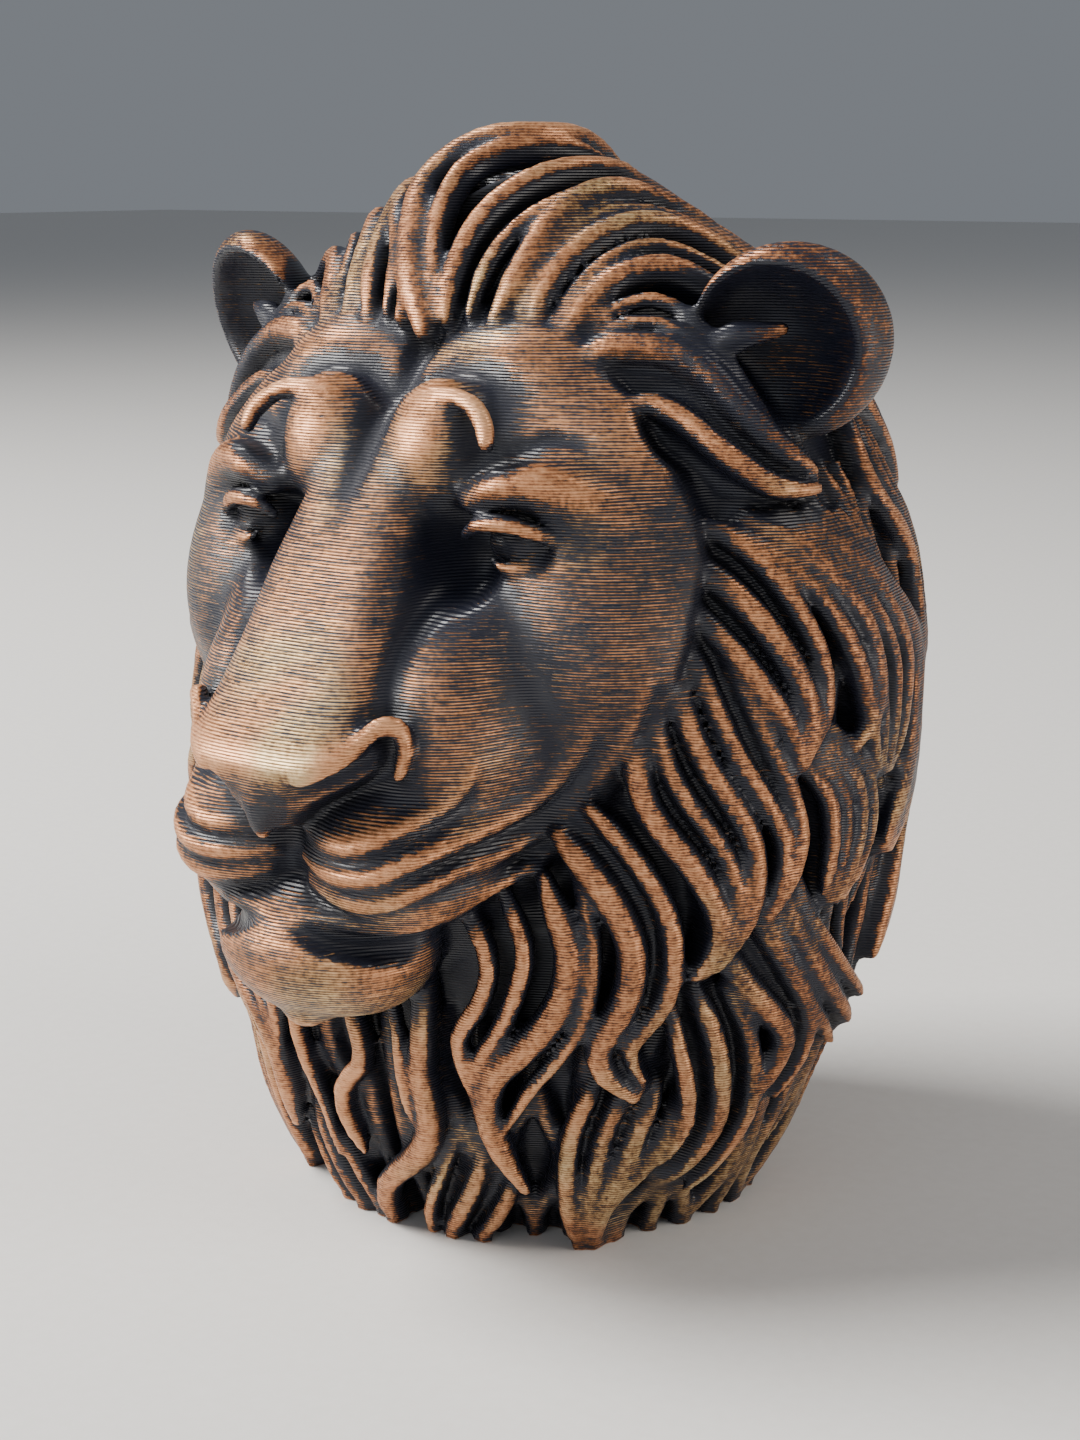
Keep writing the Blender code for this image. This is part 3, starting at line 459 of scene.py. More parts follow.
def whiskerFolds(clay):
    grooves = (
        ((1.2, 32.4), (4.4, 31.9), (8.0, 32.3), (10.8, 34.2), (12.2, 36.6)),
        ((1.2, 30.7), (4.6, 30.1), (8.6, 30.5), (12.2, 32.8), (15.0, 35.8), (17.4, 39.0)),
        ((1.8, 28.8), (5.6, 28.1), (9.0, 28.8), (12.8, 31.3), (16.2, 34.8), (19.0, 38.8), (20.8, 42.6)),
    )
    ridges = (
        ((1.4, 33.3), (5.0, 32.9), (8.2, 33.6), (10.6, 35.5), (12.0, 38.0)),
        ((1.6, 31.5), (5.0, 31.0), (8.8, 31.4), (12.2, 33.8), (14.6, 36.6), (16.4, 39.6)),
        ((2.0, 29.7), (6.0, 29.1), (9.2, 29.6), (12.8, 32.2), (16.0, 35.6), (18.6, 39.4), (20.2, 43.0)),
        ((3.4, 27.4), (8.6, 27.2), (12.4, 29.8), (16.0, 33.4), (19.0, 37.6), (21.0, 41.6)),
    )
    for spots in grooves:
        stroke(clay, spots, (0.2,), (0.35, 0.6, 0.65, 0.35), 0.4, True)
    for spots in ridges:
        stroke(clay, spots, (-0.35,), (0.45, 0.55, 0.6, 0.35), 0.7)


def nostrils(clay):
    hole = ((2.2, -32.8, 35.2), (3.8, -32.2, 35.9), (5.6, -30.6, 37.0), (7.3, -28.8, 38.6))
    limb(clay, hole, (0.4, 1.2, 1.25, 0.6), 0.4, True)
    septum = ((0, -31.2, 36.8), (0, -31.5, 35.2), (0, -31.3, 33.4))
    limb(clay, septum, (1.4, 1.0, 0.6), 0.5, pair=False)
    wing = (
        (4.2, -32.4, 37.4), (5.6, -31.2, 38.4), (7.0, -29.6, 40.0), (8.0, -28.6, 41.0),
        (8.8, -27.8, 40.8), (9.0, -27.4, 39.4), (8.6, -27.6, 37.6),
    )
    limb(clay, wing, (0.4, 0.6, 0.7, 0.7, 0.5), 0.4)
    crease = ((6.7, -30.6, 41.6), (7.8, -29.2, 42.6), (9.2, -27.4, 42.2))
    limb(clay, crease, (0.3, 0.5, 0.3), 0.5, True)


def cheekRim(clay):
    # channel between the cheek and the mane
    rim = (
        (15.4, 63.0), (18.8, 60.0), (21.2, 56.0), (22.6, 52.0), (22.9, 48.0),
        (22.4, 43.5), (20.8, 39.0), (18.4, 35.0), (15.8, 31.2), (13.0, 27.6),
    )
    stroke(clay, rim, (0.0,), (1.6, 1.9, 1.7, 1.2, 0.9, 0.7), 1.8, True)


earForm = {
    "centre": (23.2, -4.0, 64.6),
    "size": (6.9, 4.0, 6.9),
    "hollow": (23.6, -7.7, 63.8),
    "hollowSize": (5.8, 6.3, 5.8),
    "turn": (18, 0, 34),
    "tuft": ((18.6, -7.4, 63.8), (20.6, -6.6, 65.0), (23.4, -5.0, 65.6)),
    "tuftWidths": (0.8, 1.1, 0.5),
    "gap": (19.8, -9.4, 60.2),          # dark gap between the ear and the hair of the temple
    "gapSize": (3.8, 4.6, 3.8),
}


def ears(clay):
    egg(clay, earForm["centre"], earForm["size"], earForm["turn"], 1.0, pair=True)
    egg(clay, earForm["hollow"], earForm["hollowSize"], earForm["turn"], 0.8, hollow=True, pair=True)
    limb(clay, earForm["tuft"], earForm["tuftWidths"], 0.5)
    egg(clay, earForm["gap"], earForm["gapSize"], soft=0.8, hollow=True, pair=True)


# locks: (azimuth, elevation) stations of both edges from root to tip, ridges, thickness
hairForm = {
    "crownRise": (0.0, 0.3, -0.4),
    "templeRise": (0.1, 1.1, 1.0),
    "templeDip": 1.2,
    "bladeRise": (0.1, 0.6, -0.2),
    "crown": (
        (((8, 59.5), (8, 65), (13, 71), (38, 77), (75, 79), (115, 77)), None, 1, 0.95),
        (((15, 60), (19, 66), (31, 71), (57, 74), (88, 75), (112, 69)), None, 1, 0.7),
        (((23, 59.5), (30, 65), (42, 71), (67, 74), (95, 71), (112, 63)), None, 1, 1.1),
        (((29, 58.5), (34, 64), (46, 69), (68, 71), (90, 67), (104, 59)), None, 1, 0.62),
        (((33, 58), (38, 63), (50, 67), (68, 68), (84, 65), (98, 56)), None, 1, 1.05),
        (((38, 56), (45, 61), (56, 64), (69, 64), (80, 60), (92, 52)), None, 1, 0.65),
        (((40, 55), (48, 59), (58, 61), (69, 60), (78, 55), (86, 48)), None, 1, 1.05),
    ),
    # the blade of hair that rises from the middle of the brow
    "blade": (
        (((2, 58), (-6, 64), (-16, 70), (-26, 75), (-20, 81), (40, 85), (150, 80)), 1.15),
        (((5, 60), (0, 66), (-6, 72), (-6, 78), (30, 83), (100, 82)), 0.8),
        (((-4, 60), (-19, 67), (-40, 72), (-60, 75), (-90, 76)), 0.75),
    ),
    "temple": (
        (((47, 56), (56, 57), (63, 56), (68, 52), (71.5, 45), (74, 38), (76, 34)),
         ((52, 45), (58, 42), (63, 38), (66, 34.5), (70, 30.5), (75, 27.5), (80, 27)), 2, 0.5),
        (((49, 54.5), (57, 54.3), (63, 52.2), (67.4, 48.5), (70.5, 43), (72, 38)), None, 1, 0.55),
        (((44, 51.6), (50, 52), (56, 51), (62.5, 48.6), (67.4, 44.4), (70.6, 39), (75, 33), (80, 28.7)),
         None, 1, 0.95),
        (((52.8, 44.3), (58.3, 42.5), (62.7, 38.8), (65.6, 35), (69.3, 31.2), (73.6, 27.8), (80, 26.5)),
         None, 1, 0.8),
    ),
    "beard": (
        (((22, -31), (27, -37), (26, -42), (22, -46), (22, -49), (24, -53)), None, 1, 0.72),
        (((29, -29), (33, -35), (32, -40), (29, -45), (25, -49), (24, -54)), None, 1, 0.72),
        (((18, -58), (13, -63), (9, -66), (8, -69), (12, -71)),
         ((31, -61), (27, -65), (21, -68), (13, -71)), 3, 0.7),
    ),
    # locks of the beard's middle, each on one side only
    "lone": (
        (((-3, -44), (-1, -49), (0, -52), (-6, -55), (-8, -58), (-5, -62)), 0.72),
        (((7, -43), (9, -48), (9, -52), (10, -57)), 0.5),
        (((15, -40), (14, -48), (13, -52), (14, -56), (11, -60), (0, -64), (-4, -67), (-1, -71)), 0.9),
        (((-16, -40), (-18, -47), (-17, -53), (-14, -58), (-15, -63)), 0.6),
    ),
    "side": (
        (((90, 23), (94, 14), (102, 7), (111, 0), (113, -8), (108, -17), (98, -26)),
         ((76, 25), (82, 20), (92, 13), (99, 6), (103, -2), (102, -12), (95, -24)), 5, 0.75),
        (((74, 25), (80, 21), (88, 15), (94, 8), (98, 1), (97, -7), (94, -14)),
         ((66, 24), (72, 19), (78, 13), (83, 5), (86, -2), (88, -9), (90, -13)), 4, 0.72),
        (((75, -2), (83, -8), (88, -13), (90, -19), (89, -24), (84, -30)),
         ((71, -6), (76, -11), (80, -16), (81, -22), (80, -28)), 4, 0.62),
        (((74, -22), (77, -28), (81, -33), (89, -39), (102, -45)),
         ((69, -25), (72, -31), (76, -37), (82, -42), (92, -48)), 3, 0.85),
        (((67, -26), (71, -32), (77, -38), (82, -43), (83, -47), (79, -52)),
         ((62, -32), (67, -37), (74, -42), (78, -45), (77, -48), (73, -52)), 2, 0.85),
        (((66, -39), (71, -44), (73, -48), (74, -53), (71, -57), (65, -61)),
         ((56, -40), (59, -46), (61, -50), (62, -54), (58, -58)), 3, 0.8),
        (((62, -50), (59, -55), (55, -59), (50, -62), (47, -65)),
         ((46, -50), (42, -55), (41, -59), (42, -64), (47, -68), (52, -69)), 4, 0.8),
        (((41, -26), (44, -34), (43, -42), (39, -47), (34, -51), (29, -56)), None, 1, 0.62),
        (((36, -27), (40, -35), (39, -41), (34, -46), (28, -50), (26, -54), (28, -58), (33, -62)),
         None, 1, 0.95),
        (((38, -21), (44, -26), (49, -32), (50, -37), (48, -42), (45, -45), (46, -48), (52, -51)),
         ((43, -17), (49, -22), (54, -28), (56, -34), (55, -40), (51, -44), (50, -46), (53, -49)), 2, 0.95),
        (((50, -5), (51, -14), (54, -19), (58, -23), (61, -27), (63, -31), (62, -34), (59, -37)),
         ((55, 8), (57, -1), (60, -9), (64, -15), (67, -20), (68, -25), (67, -30), (63, -36)), 3, 0.85),
        (((58, 9), (62, -2), (65, -9), (69, -15), (72, -20), (72, -25), (70, -30)),
         ((63, 8), (67, -1), (70, -8), (73, -14), (75, -20), (74, -25), (71, -30)), 2, 0.72),
        (((57, 15), (62, 9.7), (66, 4.8), (70, -1), (73, -6), (74, -11)),
         ((59, 26), (64.5, 23.7), (70, 18.5), (74.5, 11), (77.5, 4), (78, -3), (75.5, -9)), 3, 0.9),
        (((70, 25), (76, 20.9), (81, 14.8), (86, 7.9), (88, 2), (88, -4), (84, -9)), None, 1, 0.8),
    ),
}


# low wavy strands in the bare places between the locks; angles are in degrees on the mane
strandForm = {
    "rows": (18, -8, -34),
    "count": 19,
    "from": 82.4,
    "step": 5.4,
    "sway": 3,
    "thick": 0.75,
    "rise": (-1.6, -1.0, -1.4),
    "neckCount": 27,
    "neckFrom": 4,
    "neckStep": 6.6,
    "neckSway": 4,
    "neckThick": 1.0,
    "neckRise": (-2.2, -1.5, -1.6),
}


def undercoat(clay):
    form = strandForm
    for row, el in enumerate(form["rows"]):
        for i in range(form["count"]):
            az = form["from"] + form["step"] * i + form["step"] / 2 * (row % 2)
            sway = form["sway"] * math.sin(i * 1.7 + row)
            stations = ((az, el + 12), (az + sway, el), (az - sway, el - 14), (az + sway, el - 28))
            lock(clay, stations, stations, 1, form["thick"], form["rise"])
    for i in range(form["neckCount"]):
        az = form["neckFrom"] + form["neckStep"] * i
        sway = form["neckSway"] * math.sin(i * 2.1)
        stations = ((az, -46), (az + sway, -52), (az - sway, -60), (az + sway, -67), (az, -72))
        lock(clay, stations, stations, 1, form["neckThick"], form["neckRise"])


# tiers of plainer locks over the back, swept to one side and the other by turns
backForm = {
    "tiers": (64, 44, 24, 3, -18),
    "count": 8,
    "topFrom": 104,            # the top tier is spaced wider than the others
    "topStep": 20,
    "from": 110,
    "step": 11,
    "past": 186,               # locks start no further than a little past the middle of the back
    "sway": 7,
    "uneven": 6,
    "halfWidth": 4.2,
    "ridges": 3,
    "thick": 0.85,
    "rise": (-1.4, 0.0, 0.6),
}


def backEdge(az, high, sway, wide):
    # one edge of a back lock, drawn together at the tip
    return (
        (az + wide, high + 18),
        (az + sway + 1.2 * wide, high + 4),
        (az - sway * 0.4 + wide, high - 10),
        (az + sway * 0.8 + 0.12 * wide, high - 26),
    )


def backLocks(clay):
    form = backForm
    for tier, el in enumerate(form["tiers"]):
        first, step = (form["topFrom"], form["topStep"]) if tier == 0 else (form["from"], form["step"])
        sway = form["sway"] if tier % 2 else -form["sway"]
        for i in range(form["count"]):
            az = first + step * i + (step / 2 if tier % 2 else 0)
            high = el + form["uneven"] * math.sin(2.3 * i + 1.7 * tier)
            if az < form["past"]:
                left = backEdge(az, high, sway, -form["halfWidth"])
                right = backEdge(az, high, sway, form["halfWidth"])
                lock(clay, left, right, form["ridges"], form["thick"], form["rise"])


def mane(clay):
    undercoat(clay)
    for first, last, count, thick in hairForm["crown"]:
        lock(clay, first, last or first, count, thick, hairForm["crownRise"])
    ears(clay)
    for first, last, count, thick in hairForm["temple"]:
        lock(clay, first, last or first, count, thick, hairForm["templeRise"], hairForm["templeDip"])
    backLocks(clay)
    for stations, thick in hairForm["blade"]:
        lock(clay, stations, stations, 1, thick, hairForm["bladeRise"], mirror=False)
    for stations, thick in hairForm["lone"]:
        lock(clay, stations, stations, 1, thick, mirror=False)
    for first, last, count, thick in hairForm["beard"] + hairForm["side"]:
        lock(clay, first, last or first, count, thick)


def sculptHead(grain):
    clay = Clay(grain)
    maneBody(clay)
    faceMasses(clay)
    brow(clay)
    eyes(clay)
    mouth(clay)
    whiskerFolds(clay)
    nostrils(clay)
    cheekRim(clay)
    mane(clay)
    # a light smoothing, as if the clay had been wiped once
    for axis in range(3):
        before = np.roll(clay.field, 1, axis)
        after = np.roll(clay.field, -1, axis)
        clay.field = (1 - 2 * clayBlock["ease"]) * clay.field + clayBlock["ease"] * (before + after)
    foot = int(round((clayBlock["neckStraight"] - clay.low[2]) / grain))
    clay.field[:, :, :foot] = clay.field[:, :, foot : foot + 1]
    # everything below the cut is shaved off
    clay.field = np.maximum(clay.field, clayBlock["neckCut"] - clay.line[2][None, None, :])
    return clay


def skinOf(clay):
    # one point to each cell that the surface crosses, joined by four-sided faces
    field = clay.field.copy()
    field[0], field[-1], field[:, 0], field[:, -1], field[:, :, 0], field[:, :, -1] = [1.0] * 6
    inside = field < 0
    shape = np.array(field.shape)
    body = (slice(None, -1), slice(1, None))
    corners = [(c & 1, c >> 1 & 1, c >> 2 & 1) for c in range(8)]
    total = sum(inside[body[a], body[b], body[c]].astype(np.int8) for a, b, c in corners)
    cells = np.argwhere((total > 0) & (total < 8))
    number = np.full(shape - 1, -1, np.int64)
    number[tuple(cells.T)] = np.arange(len(cells))
    value = np.stack([field[tuple((cells + c).T)] for c in corners], 1)
    place = np.zeros((len(cells), 3))
    count = np.zeros(len(cells))
    for a in range(8):
        for bit in (1, 2, 4):
            b = a | bit
            if b == a:
                continue
            crossed = (value[:, a] < 0) != (value[:, b] < 0)
            gap = np.where(crossed, value[:, a] - value[:, b], 1)
            share = np.where(crossed, value[:, a] / gap, 0)[:, None]
            spot = np.array(corners[a]) + (np.array(corners[b]) - np.array(corners[a])) * share
            place += spot * crossed[:, None]
            count += crossed
    points = clay.low + clay.grain * (cells + place / count[:, None])
    quads = []
    for axis in range(3):
        near = [slice(None)] * 3
        far = [slice(None)] * 3
        near[axis], far[axis] = slice(None, -1), slice(1, None)
        one, two = inside[tuple(near)], inside[tuple(far)]
        u, v = (axis + 1) % 3, (axis + 2) % 3
        for rising in (True, False):
            edges = np.argwhere((one & ~two) if rising else (~one & two))
            edges = edges[(edges[:, u] > 0) & (edges[:, v] > 0)]
            ring = []
            for du, dv in ((1, 1), (0, 1), (0, 0), (1, 0)):
                cell = edges.copy()
                cell[:, u] -= du
                cell[:, v] -= dv
                ring.append(number[tuple(cell.T)])
            quads.append(np.stack(ring if rising else ring[::-1], 1))
    return points, np.concatenate(quads)


def blurred(field, reach):
    # running mean along each direction, twice
    for _ in range(2):
        for axis in range(3):
            total = np.cumsum(field, axis=axis, dtype=np.float64)
            pad = [(0, 0)] * 3
            pad[axis] = (reach + 1, reach)
            total = np.pad(total, pad, mode="edge")
            size = field.shape[axis]
            high = [slice(None)] * 3
            low = [slice(None)] * 3
            high[axis] = slice(2 * reach + 1, 2 * reach + 1 + size)
            low[axis] = slice(0, size)
            field = ((total[tuple(high)] - total[tuple(low)]) / (2 * reach + 1)).astype(np.float32)
    return field


def sampled(clay, field, points):
    # field read at loose points, blended from the eight places about each
    spot = (points - clay.low) / clay.grain
    base = np.clip(spot.astype(int), 0, np.array(field.shape) - 2)
    part = spot - base
    out = np.zeros(len(points))
    for c in range(8):
        bits = np.array([c & 1, c >> 1 & 1, c >> 2 & 1])
        weight = np.prod(np.where(bits, part, 1 - part), axis=1)
        out += weight * field[tuple((base + bits).T)]
    return out


brushForm = {
    # how far out each place feels for clay that shuts it in, and the weight of that
    "reaches": ((0.8, 0.40), (1.6, 0.35), (3.2, 0.25)),
    "fine": 0.6,
    "broad": 1.6,
    "base": 0.42,
    "fineGain": 1.6,
    "broadGain": 0.30,
    "shutGain": 1.8,
    "hairLoss": 0.14,
    # where the brush was heavier or lighter, with a few spots of painted shade and one painted highlight:
    # middle, size, amount
    "spots": (
        ((0, -27, 47), (7, 9, 12), 0.26),        # bridge of the nose
        ((0, -33, 39), (8, 5, 4), 0.22),         # nose tip
        ((6, -27, 33), (8, 7, 5), 0.14),         # lip pads
        ((4.5, -20, 58), (5, 6, 6), 0.22),       # brow
        ((10.5, -21, 43), (5, 7, 6), 0.10),      # beside the nose
        ((0, -20, 59.5), (1.3, 6, 5), -0.5),     # furrow of the brow
        ((16, -18, 45), (7, 9, 8), -0.22),       # cheek: thinner paint, deepened into painted shade
        ((28, 2, 36), (7, 14, 26), -0.16),       # side of the mane, painted shade
        ((23, -12, 45), (4, 7, 10), 0.12),       # first lock beside the cheek
        ((7, -16, 65), (7, 7, 4), 0.10),         # forehead
        ((0, -29, 22), (8, 7, 4), 0.10),         # chin
        ((11.4, -20, 52), (4.5, 4, 2.6), 0.06),  # eye
        ((7.9, -21.5, 50.4), (2.8, 6, 4.0), -0.8),  # corner of the eye
        ((8.6, -21.5, 58.6), (1.5, 3, 2.2), -0.6),  # pocket of the brow, painted shade
        ((15, -16, 56.5), (6, 6, 4.5), 0.20),    # beside the brow
        ((20, -12, 49), (4.5, 7, 9), 0.08),      # edge of the cheek
        ((14, -17, 38), (5, 6, 5), 0.12),        # fold below the cheek
        ((11.6, -20, 50.4), (2.4, 3, 1.0), 0.40),  # lower lid, painted highlight
        ((24.5, -7.5, 64), (5.6, 5, 5.6), -0.55),  # inside of the ear
        ((0, 20, 40), (30, 16, 45), -0.10),      # back
    ),
}


def brushing(clay, points):
    # how much paint each point takes, how open it lies, and how plain the form is there
    way = np.stack([sampled(clay, np.gradient(clay.field, clay.grain, axis=i), points) for i in range(3)], 1)
    way /= np.maximum(np.linalg.norm(way, axis=1), 1e-6)[:, None]
    shut = np.zeros(len(points))
    for reach, weight in brushForm["reaches"]:
        gap = sampled(clay, clay.field, points + way * reach)
        shut += weight * np.clip(1 - gap / reach, 0, 1)
    # a blurred distance over zero marks a ridge, under zero a groove
    form = brushForm
    fine = sampled(clay, blurred(clay.field, max(1, round(form["fine"] / clay.grain))), points)
    broad = sampled(clay, blurred(clay.field, max(2, round(form["broad"] / clay.grain))), points)
    hair = np.clip((np.abs(fine) + np.abs(broad)) * 1.2, 0, 1)
    high = form["base"] + form["fineGain"] * fine + form["broadGain"] * broad
    high = high - form["shutGain"] * np.clip(shut - 0.10, 0, 1) - form["hairLoss"] * hair
    for middle, size, amount in form["spots"]:
        near = (np.abs(points[:, 0]) - middle[0]) if middle[0] else points[:, 0]
        apart = (near / size[0]) ** 2 + ((points[:, 1] - middle[1]) / size[1]) ** 2
        apart += ((points[:, 2] - middle[2]) / size[2]) ** 2
        high += amount * np.exp(-apart)
    return np.clip(high, 0, 1), np.clip(1 - shut, 0, 1), 1 - hair


def carveHead():
    grain = clayBlock["grain"]
    clay = sculptHead(grain)
    print("clay carved at", grain, "mm")
    points, quads = skinOf(clay)
    mesh = bpy.data.meshes.new("lionHeadCarving")
    mesh.from_pydata(points.tolist(), [], quads.tolist())
    mesh.update()
    head = bpy.data.objects.new("lionHeadCarving", mesh)
    bpy.context.scene.collection.objects.link(head)
    useOnly(head)
    bpy.ops.object.mode_set(mode="EDIT")
    bpy.ops.mesh.select_mode(type="VERT")
    bpy.ops.mesh.select_all(action="DESELECT")
    bpy.ops.object.mode_set(mode="OBJECT")
    peak = max(range(len(mesh.vertices)), key=lambda i: mesh.vertices[i].co.z)
    mesh.vertices[peak].select = True
    bpy.ops.object.mode_set(mode="EDIT")
    bpy.ops.mesh.select_linked()
    bpy.ops.mesh.select_all(action="INVERT")
    bpy.ops.mesh.delete(type="VERT")                # crumbs that hang free of the head
    bpy.ops.mesh.select_all(action="SELECT")
    bpy.ops.mesh.normals_make_consistent(inside=False)
    bpy.ops.object.mode_set(mode="OBJECT")
    thin = head.modifiers.new("thin", "DECIMATE")
    thin.ratio = min(1.0, clayBlock["mostTriangles"] / (2 * len(mesh.polygons)))
    bpy.ops.object.modifier_apply(modifier="thin")
    print("skin of", sum(len(f.vertices) - 2 for f in mesh.polygons), "triangles")
    return head, clay


def useOnly(piece):
    bpy.ops.object.select_all(action="DESELECT")
    piece.select_set(True)
    bpy.context.view_layer.objects.active = piece


paintForm = {
    "plastic": (0.0065, 0.0065, 0.0095, 1),      # near black plastic, with a cold tinge that is a painted bluish reflection
    # painted sheen: the lighter, bluer tone the open plastic is painted, as a painted reflection
    "plasticSheen": (0.010, 0.012, 0.024, 1),
    "brown": (0.10, 0.042, 0.022, 1),
    "copper": (0.37, 0.132, 0.048, 1),
    "gold": (0.34, 0.215, 0.085, 1),
    # pale tones of the thickest paint, partly a painted highlight
    "paleCopperHighlight": (0.74, 0.37, 0.185, 1),
    "paleGoldHighlight": (0.68, 0.50, 0.27, 1),
    "layer": 0.0002,           # the plastic was laid down in layers this thick
}


class Wires:
    # small helper for node trees
    def __init__(self, tree):
        self.tree = tree

    def add(self, kind, settings=None, **inputs):
        node = self.tree.nodes.new(kind)
        for key, value in (settings or {}).items():
            setattr(node, key, value)
        for key, value in inputs.items():
            socket = node.inputs[int(key[1:])] if key[1:].isdigit() else node.inputs[key.replace("_", " ")]
            if isinstance(value, bpy.types.NodeSocket):
                self.tree.links.new(value, socket)
            else:
                socket.default_value = value
        return node.outputs

    def maths(self, what, a, b=0.0, c=0.0):
        return self.add("ShaderNodeMath", {"operation": what}, i0=a, i1=b, i2=c)[0]

    def ramp(self, value, low, high, newLow=0.0, newHigh=1.0):
        kind = {"interpolation_type": "SMOOTHSTEP"}
        return self.add("ShaderNodeMapRange", kind, i0=value, i1=low, i2=high, i3=newLow, i4=newHigh)[0]

    def mix(self, share, a, b):
        return self.add("ShaderNodeMix", {"data_type": "RGBA"}, i0=share, i6=a, i7=b)[2]

    def noise(self, where, scale, detail=2.0, rough=0.5):
        kind = "ShaderNodeTexNoise"
        return self.add(kind, None, Vector=where, Scale=scale, Detail=detail, Roughness=rough)[0]


def brushedPlastic():
    # black printed plastic with copper and gold paint dragged over its high spots
    mat = bpy.data.materials.new("brushedBlackPlastic")
    mat.use_nodes = True
    mat.node_tree.nodes.clear()
    w = Wires(mat.node_tree)
    place = w.add("ShaderNodeTexCoord")[3]
    brushAndLightSample = w.add("ShaderNodeAttribute", {"attribute_name": "brushAndPaintedLight"})[0]
    parts = w.add("ShaderNodeSeparateColor", None, Color=brushAndLightSample)
    high, free, plain = parts[0], parts[1], parts[2]
    z = w.add("ShaderNodeSeparateXYZ", None, Vector=place)[2]

    # layer lines: paint catches the crest of each layer first
    turns = w.maths("DIVIDE", z, paintForm["layer"])
    crest = w.maths("MULTIPLY", w.maths("PINGPONG", turns, 0.5), 2.0)
    flat = w.add("ShaderNodeMapping", None, Vector=place, Scale=(1, 1, 16))[0]
    dashes = w.noise(flat, 420.0, 4.0, 0.7)
    speck = w.noise(place, 2400.0, 2.0, 0.6)
    patch = w.noise(place, 110.0, 3.0, 0.55)
    blot = w.noise(place, 420.0, 2.0, 0.5)

    drag = w.ramp(plain, 0.25, 0.85, 0.5, 1.7)      # stronger dashes on the plain parts
    comb = w.ramp(plain, 0.25, 0.85, 0.25, 0.75)
    reach = w.maths("MULTIPLY", w.maths("SUBTRACT", dashes, 0.5), drag)
    reach = w.maths("MULTIPLY_ADD", w.maths("SUBTRACT", speck, 0.5), 0.7, reach)
    reach = w.maths("MULTIPLY_ADD", w.maths("SUBTRACT", patch, 0.5), 0.35, reach)
    reach = w.maths("MULTIPLY_ADD", w.maths("SUBTRACT", blot, 0.5), 0.3, reach)
    reach = w.maths("MULTIPLY_ADD", w.maths("SUBTRACT", crest, 0.5), comb, reach)
    amount = w.maths("ADD", high, reach)
    coat = w.ramp(amount, 0.41, 0.54)
    heavy = w.ramp(amount, 0.46, 0.74)
    # where the paint lies thickest it turns pale copper and pale gold, partly the thick paint and partly a
    # painted highlight
    thickAndHighlit = w.ramp(amount, 0.54, 1.02)

    tone = w.noise(place, 75.0, 2.0, 0.5)
    golden = w.ramp(w.maths("MULTIPLY_ADD", plain, 0.08, tone), 0.54, 0.70)
    warm = w.mix(w.maths("MULTIPLY", golden, 0.7), paintForm["copper"], paintForm["gold"])
    light = w.mix(golden, paintForm["paleCopperHighlight"], paintForm["paleGoldHighlight"])
    faint = w.mix(w.maths("MULTIPLY", plain, 0.55), paintForm["brown"], paintForm["gold"])
    thin = w.mix(heavy, faint, warm)
    paint = w.mix(thickAndHighlit, thin, light)
    # bare plastic: painted lighter and bluer where it lies open, as a painted reflection, and left darker
    # where shut in, as painted shade
    plastic = w.mix(free, paintForm["plastic"], paintForm["plasticSheen"])
    colour = w.mix(coat, plastic, paint)

    lift = w.maths("MULTIPLY_ADD", coat, 0.5, crest)
    lift = w.maths("MULTIPLY_ADD", speck, 0.35, lift)
    bump = w.add("ShaderNodeBump", None, Strength=0.6, Distance=0.00009, Height=lift)[0]
    rough = w.maths("MULTIPLY_ADD", coat, 0.04, 0.38)
    rough = w.maths("MULTIPLY_ADD", w.maths("SUBTRACT", blot, 0.5), 0.25, rough)
    metal = w.maths("MULTIPLY", coat, 0.6)
    shader = w.add(
        "ShaderNodeBsdfPrincipled", None, Base_Color=colour, Roughness=rough, Metallic=metal, Normal=bump
    )
    w.add("ShaderNodeOutputMaterial", None, Surface=shader[0])
    return mat


def paintHead(head, clay):
    # this attribute steers the dry brush and the painted light: red how much paint, with some painted shade
    # and a painted highlight in it, green how open, which sets the painted sheen and painted shade of the
    # bare plastic, blue how plain
    mesh = head.data
    count = len(mesh.vertices)
    points = np.empty(count * 3)
    mesh.vertices.foreach_get("co", points)
    points = points.reshape(-1, 3)
    high, free, plain = brushing(clay, points)
    brushAndPaintedLight = np.ones((count, 4), np.float32)
    brushAndPaintedLight[:, 0] = high
    brushAndPaintedLight[:, 1] = free
    brushAndPaintedLight[:, 2] = plain
    layer = mesh.attributes.new("brushAndPaintedLight", "FLOAT_COLOR", "POINT")
    layer.data.foreach_set("color", brushAndPaintedLight.ravel())
    points[:, 2] -= clayBlock["neckCut"]
    mesh.vertices.foreach_set("co", (points / 1000).ravel())
    mesh.update()
    mesh.materials.append(brushedPlastic())
    useOnly(head)
    bpy.ops.object.shade_smooth()
    print("paint laid on", np.percentile(high, (5, 25, 50, 75, 95)).round(2).tolist())


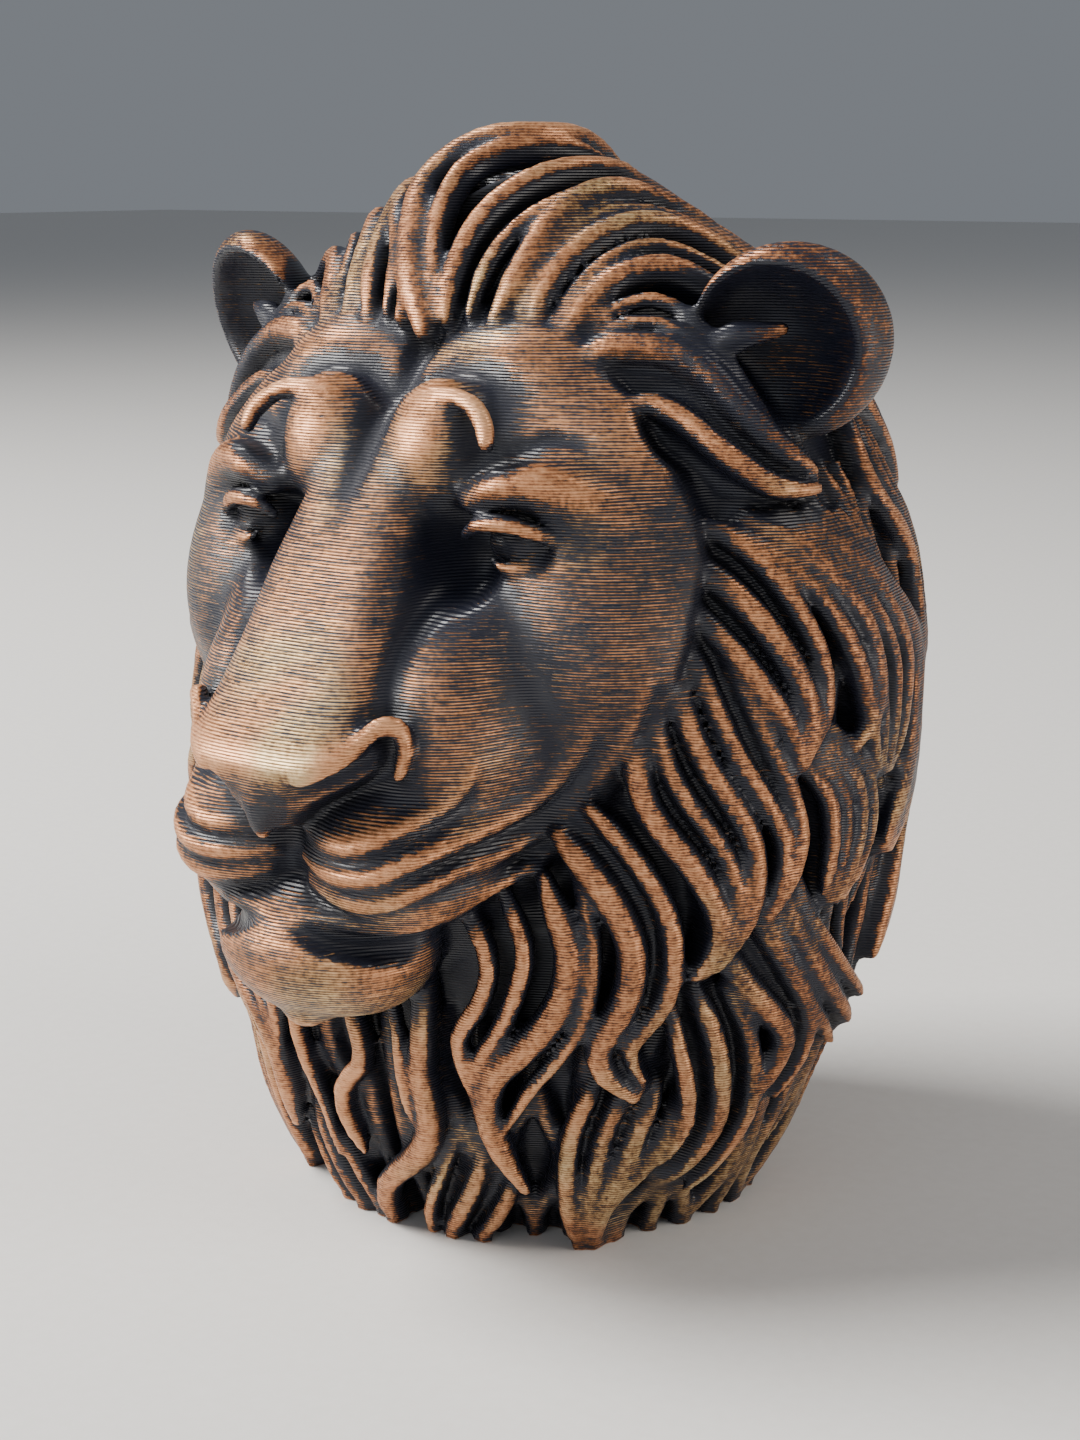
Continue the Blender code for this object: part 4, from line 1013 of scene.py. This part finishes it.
def layFloor():
    floorForm = {"size": 6.0, "colour": (0.72, 0.70, 0.67, 1), "fleck": (0.78, 0.765, 0.74, 1)}
    bpy.ops.object.select_all(action="DESELECT")
    bpy.ops.mesh.primitive_plane_add(size=floorForm["size"], location=(0, 0, 0))
    floor = bpy.context.active_object
    floor.name = "paleFloor"
    mat = bpy.data.materials.new("palePaper")
    mat.use_nodes = True
    w = Wires(mat.node_tree)
    shader = mat.node_tree.nodes["Principled BSDF"]
    place = w.add("ShaderNodeTexCoord")[3]
    grain = w.noise(place, 900.0, 3.0)
    paper = w.mix(grain, floorForm["colour"], floorForm["fleck"])
    mat.node_tree.links.new(paper, shader.inputs["Base Color"])
    shader.inputs["Roughness"].default_value = 0.8
    floor.data.materials.append(mat)


def softLights():
    studioForm = {
        "sky": (0.80, 0.86, 0.95, 1),
        "skyStrength": 0.24,
        # place, aim, size, power, colour
        "lamps": (
            ((-0.42, -0.22, 0.55), (0, 0, 0.04), 0.35, 11.0, (1.0, 0.98, 0.95)),
            ((0.50, 0.10, 0.30), (0, 0, 0.04), 0.30, 1.6, (1.0, 0.93, 0.85)),
            ((0.10, -0.60, 0.20), (0, 0, 0.04), 0.50, 0.8, (0.95, 0.97, 1.0)),
        ),
    }
    world = bpy.data.worlds.new("studioAir")
    world.use_nodes = True
    air = world.node_tree.nodes["Background"]
    air.inputs["Color"].default_value = studioForm["sky"]
    air.inputs["Strength"].default_value = studioForm["skyStrength"]
    bpy.context.scene.world = world
    for i, (place, aim, size, power, colour) in enumerate(studioForm["lamps"]):
        data = bpy.data.lights.new(f"softLamp{i}", "AREA")
        data.size = size
        data.energy = power
        data.color = colour
        lamp = bpy.data.objects.new(f"softLamp{i}", data)
        lamp.location = place
        lamp.rotation_euler = (Vector(aim) - Vector(place)).to_track_quat("-Z", "Y").to_euler()
        bpy.context.scene.collection.objects.link(lamp)


def setCamera():
    cameraForm = {"place": (0.1043, -0.1438, 0.0759), "turn": (77.0, 0.0, 36.0), "lens": 60.0}
    data = bpy.data.cameras.new("tableCamera")
    data.lens = cameraForm["lens"]
    data.sensor_width = 36.0
    data.clip_start = 0.01
    camera = bpy.data.objects.new("tableCamera", data)
    camera.location = cameraForm["place"]
    camera.rotation_euler = [math.radians(a) for a in cameraForm["turn"]]
    bpy.context.scene.collection.objects.link(camera)
    bpy.context.scene.camera = camera


setCamera()
head, clay = carveHead()
paintHead(head, clay)
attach(head, "root")
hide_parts("lion_head")
layFloor()
softLights()
print("studio set")
